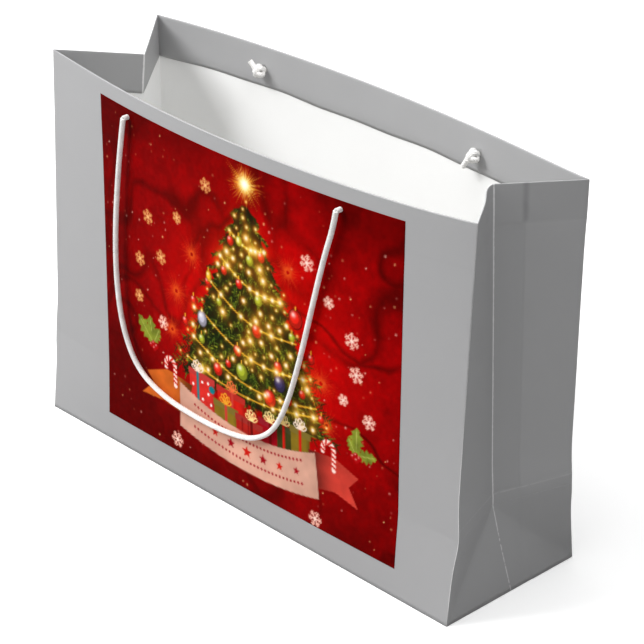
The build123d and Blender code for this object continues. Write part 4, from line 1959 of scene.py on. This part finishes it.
@dataclass
class Studio:
    """A pale floor, soft lights and the camera."""

    camera_place: tuple[float, float, float] = (0.92815, -0.86959, 0.75451)
    camera_back: tuple[float, float, float] = (0.643019, -0.614482, 0.457098)
    lens: float = 142.7
    floor_colour: Colour = (0.93, 0.93, 0.93)
    floor_bounce: Colour = (0.55, 0.55, 0.55)
    floor_lift: float = 0.36
    floor_half_width: float = 7.0
    floor_front: float = -6.0
    floor_curve: float = 2.5
    curve_radius: float = 1.5
    backdrop_height: float = 6.0
    floor_drop: float = 0.1 * MM
    world_strength: float = 0.395
    lamps: tuple[Lamp, ...] = (
        Lamp("key", (-1.3, -1.5, 1.9), 1.2, 66.0),
        Lamp("top", (0.0, 0.1, 2.4), 1.6, 16.0),
        Lamp("mouth", (0.12, 0.0, 0.52), 0.22, 0.72, (-0.15, 0.0, 0.18)),
    )

    def floor(self) -> None:
        """A wide pale floor that curves up far behind."""
        angles = np.linspace(0, math.pi / 2, 14)
        start, radius, side = self.floor_curve, self.curve_radius, self.floor_half_width
        profile = [(self.floor_front, 0.0), (start, 0.0)]
        profile += [(start + radius * math.sin(a), radius - radius * math.cos(a)) for a in angles[1:]]
        profile.append((start + radius, self.backdrop_height))
        points = np.array([(x, y, z - self.floor_drop) for y, z in profile for x in (-side, side)])
        faces = [[2 * i, 2 * i + 1, 2 * i + 3, 2 * i + 2] for i in range(len(profile) - 1)]
        material = bpy.data.materials.new("Pale floor")
        material.use_nodes = True
        wire = Wiring(material.node_tree)
        seen = wire.add("ShaderNodeLightPath").outputs["Is Camera Ray"]
        colour = wire.mix(seen, (*self.floor_bounce, 1), (*self.floor_colour, 1))
        surface = material.node_tree.nodes["Principled BSDF"]
        surface.inputs["Roughness"].default_value = 0.9
        surface.inputs["Specular IOR Level"].default_value = 0.1
        surface.inputs["Emission Color"].default_value = (1, 1, 1, 1)
        material.node_tree.links.new(colour, surface.inputs["Base Color"])
        lift = wire.math("MULTIPLY", seen, self.floor_lift)
        material.node_tree.links.new(lift, surface.inputs["Emission Strength"])
        mesh_object("floor", points, faces, [material])

    def build(self) -> None:
        """Builds the floor, the lights, the world and the camera."""
        scene = bpy.context.scene
        self.floor()
        for lamp in self.lamps:
            lamp.hang()
        world = bpy.data.worlds.new("Studio")
        world.use_nodes = True
        sky = world.node_tree.nodes["Background"]
        sky.inputs["Color"].default_value = (1, 1, 1, 1)
        sky.inputs["Strength"].default_value = self.world_strength
        scene.world = world
        camera = bpy.data.cameras.new("camera")
        camera.lens = self.lens
        camera.sensor_width = 36
        camera.clip_end = 50
        view = bpy.data.objects.new("camera", camera)
        view.location = self.camera_place
        turn = Vector(self.camera_back).to_track_quat("Z", "Y")
        view.rotation_euler = turn.to_euler()
        scene.collection.objects.link(view)
        scene.camera = view
        scene.view_settings.view_transform = "Standard"
        scene.view_settings.look = "None"


# ---------------------------------------------------------------- putting it together


def main() -> None:
    """Builds the bag and the studio, and reports each piece."""
    logging.basicConfig(level=logging.INFO, format="%(name)s: %(message)s")
    sheet = FlatSheet()
    starts = sheet.starts()
    Studio().build()
    groups = {"fibre": paper_fibre_group(), "worn": worn_line_group()}
    yarn = CordYarn("White yarn").build()
    RopeHandles(yarn, sheet).build()
    right_middle = starts["right"] + sheet.gusset
    left_middle = starts["left"] + sheet.gusset
    coated = {
        "walls": CoatedPaper("Coated paper").build(groups),
        "right": CoatedPaper(
            "Coated paper, right side",
            vertical_folds=(right_middle,),
            broken_folds=(right_middle,),
            broken_below=sheet.crease,
            level_fold=sheet.pressed_line,
            seam_at=right_middle + sheet.seam_from_fold,
        ).build(groups),
        "left": CoatedPaper(
            "Coated paper, left side",
            vertical_folds=(left_middle,),
            broken_folds=(left_middle,),
            broken_below=sheet.crease,
        ).build(groups),
    }
    bare = BarePaper("White paper inside").build(groups)
    shell = PaperShell(sheet, coated, bare)
    hidden = BarePaper("Grey strip card", rgb(178, 170, 156), mottle=0.1, tooth=0.4).build(groups)
    for piece in [*shell.walls(), *shell.gussets(), *shell.feet(), *shell.strips(hidden)]:
        log.info("%s has %d faces", piece.name, len(piece.data.polygons))
    picture = FestivePicture(sheet)
    picture.paint()
    print_film = picture.film(PrintedInk("Printed ink").build(groups))
    log.info("%s has %d faces", print_film.name, len(print_film.data.polygons))
    card = BarePaper("White card board", rgb(232, 230, 224), tooth=0.35).build(groups)
    flap = BarePaper("Flap paper", rgb(190, 190, 190), roughness=0.6).build(groups)
    BagBottom(card, flap).dress()


if __name__ == "__main__":
    main()
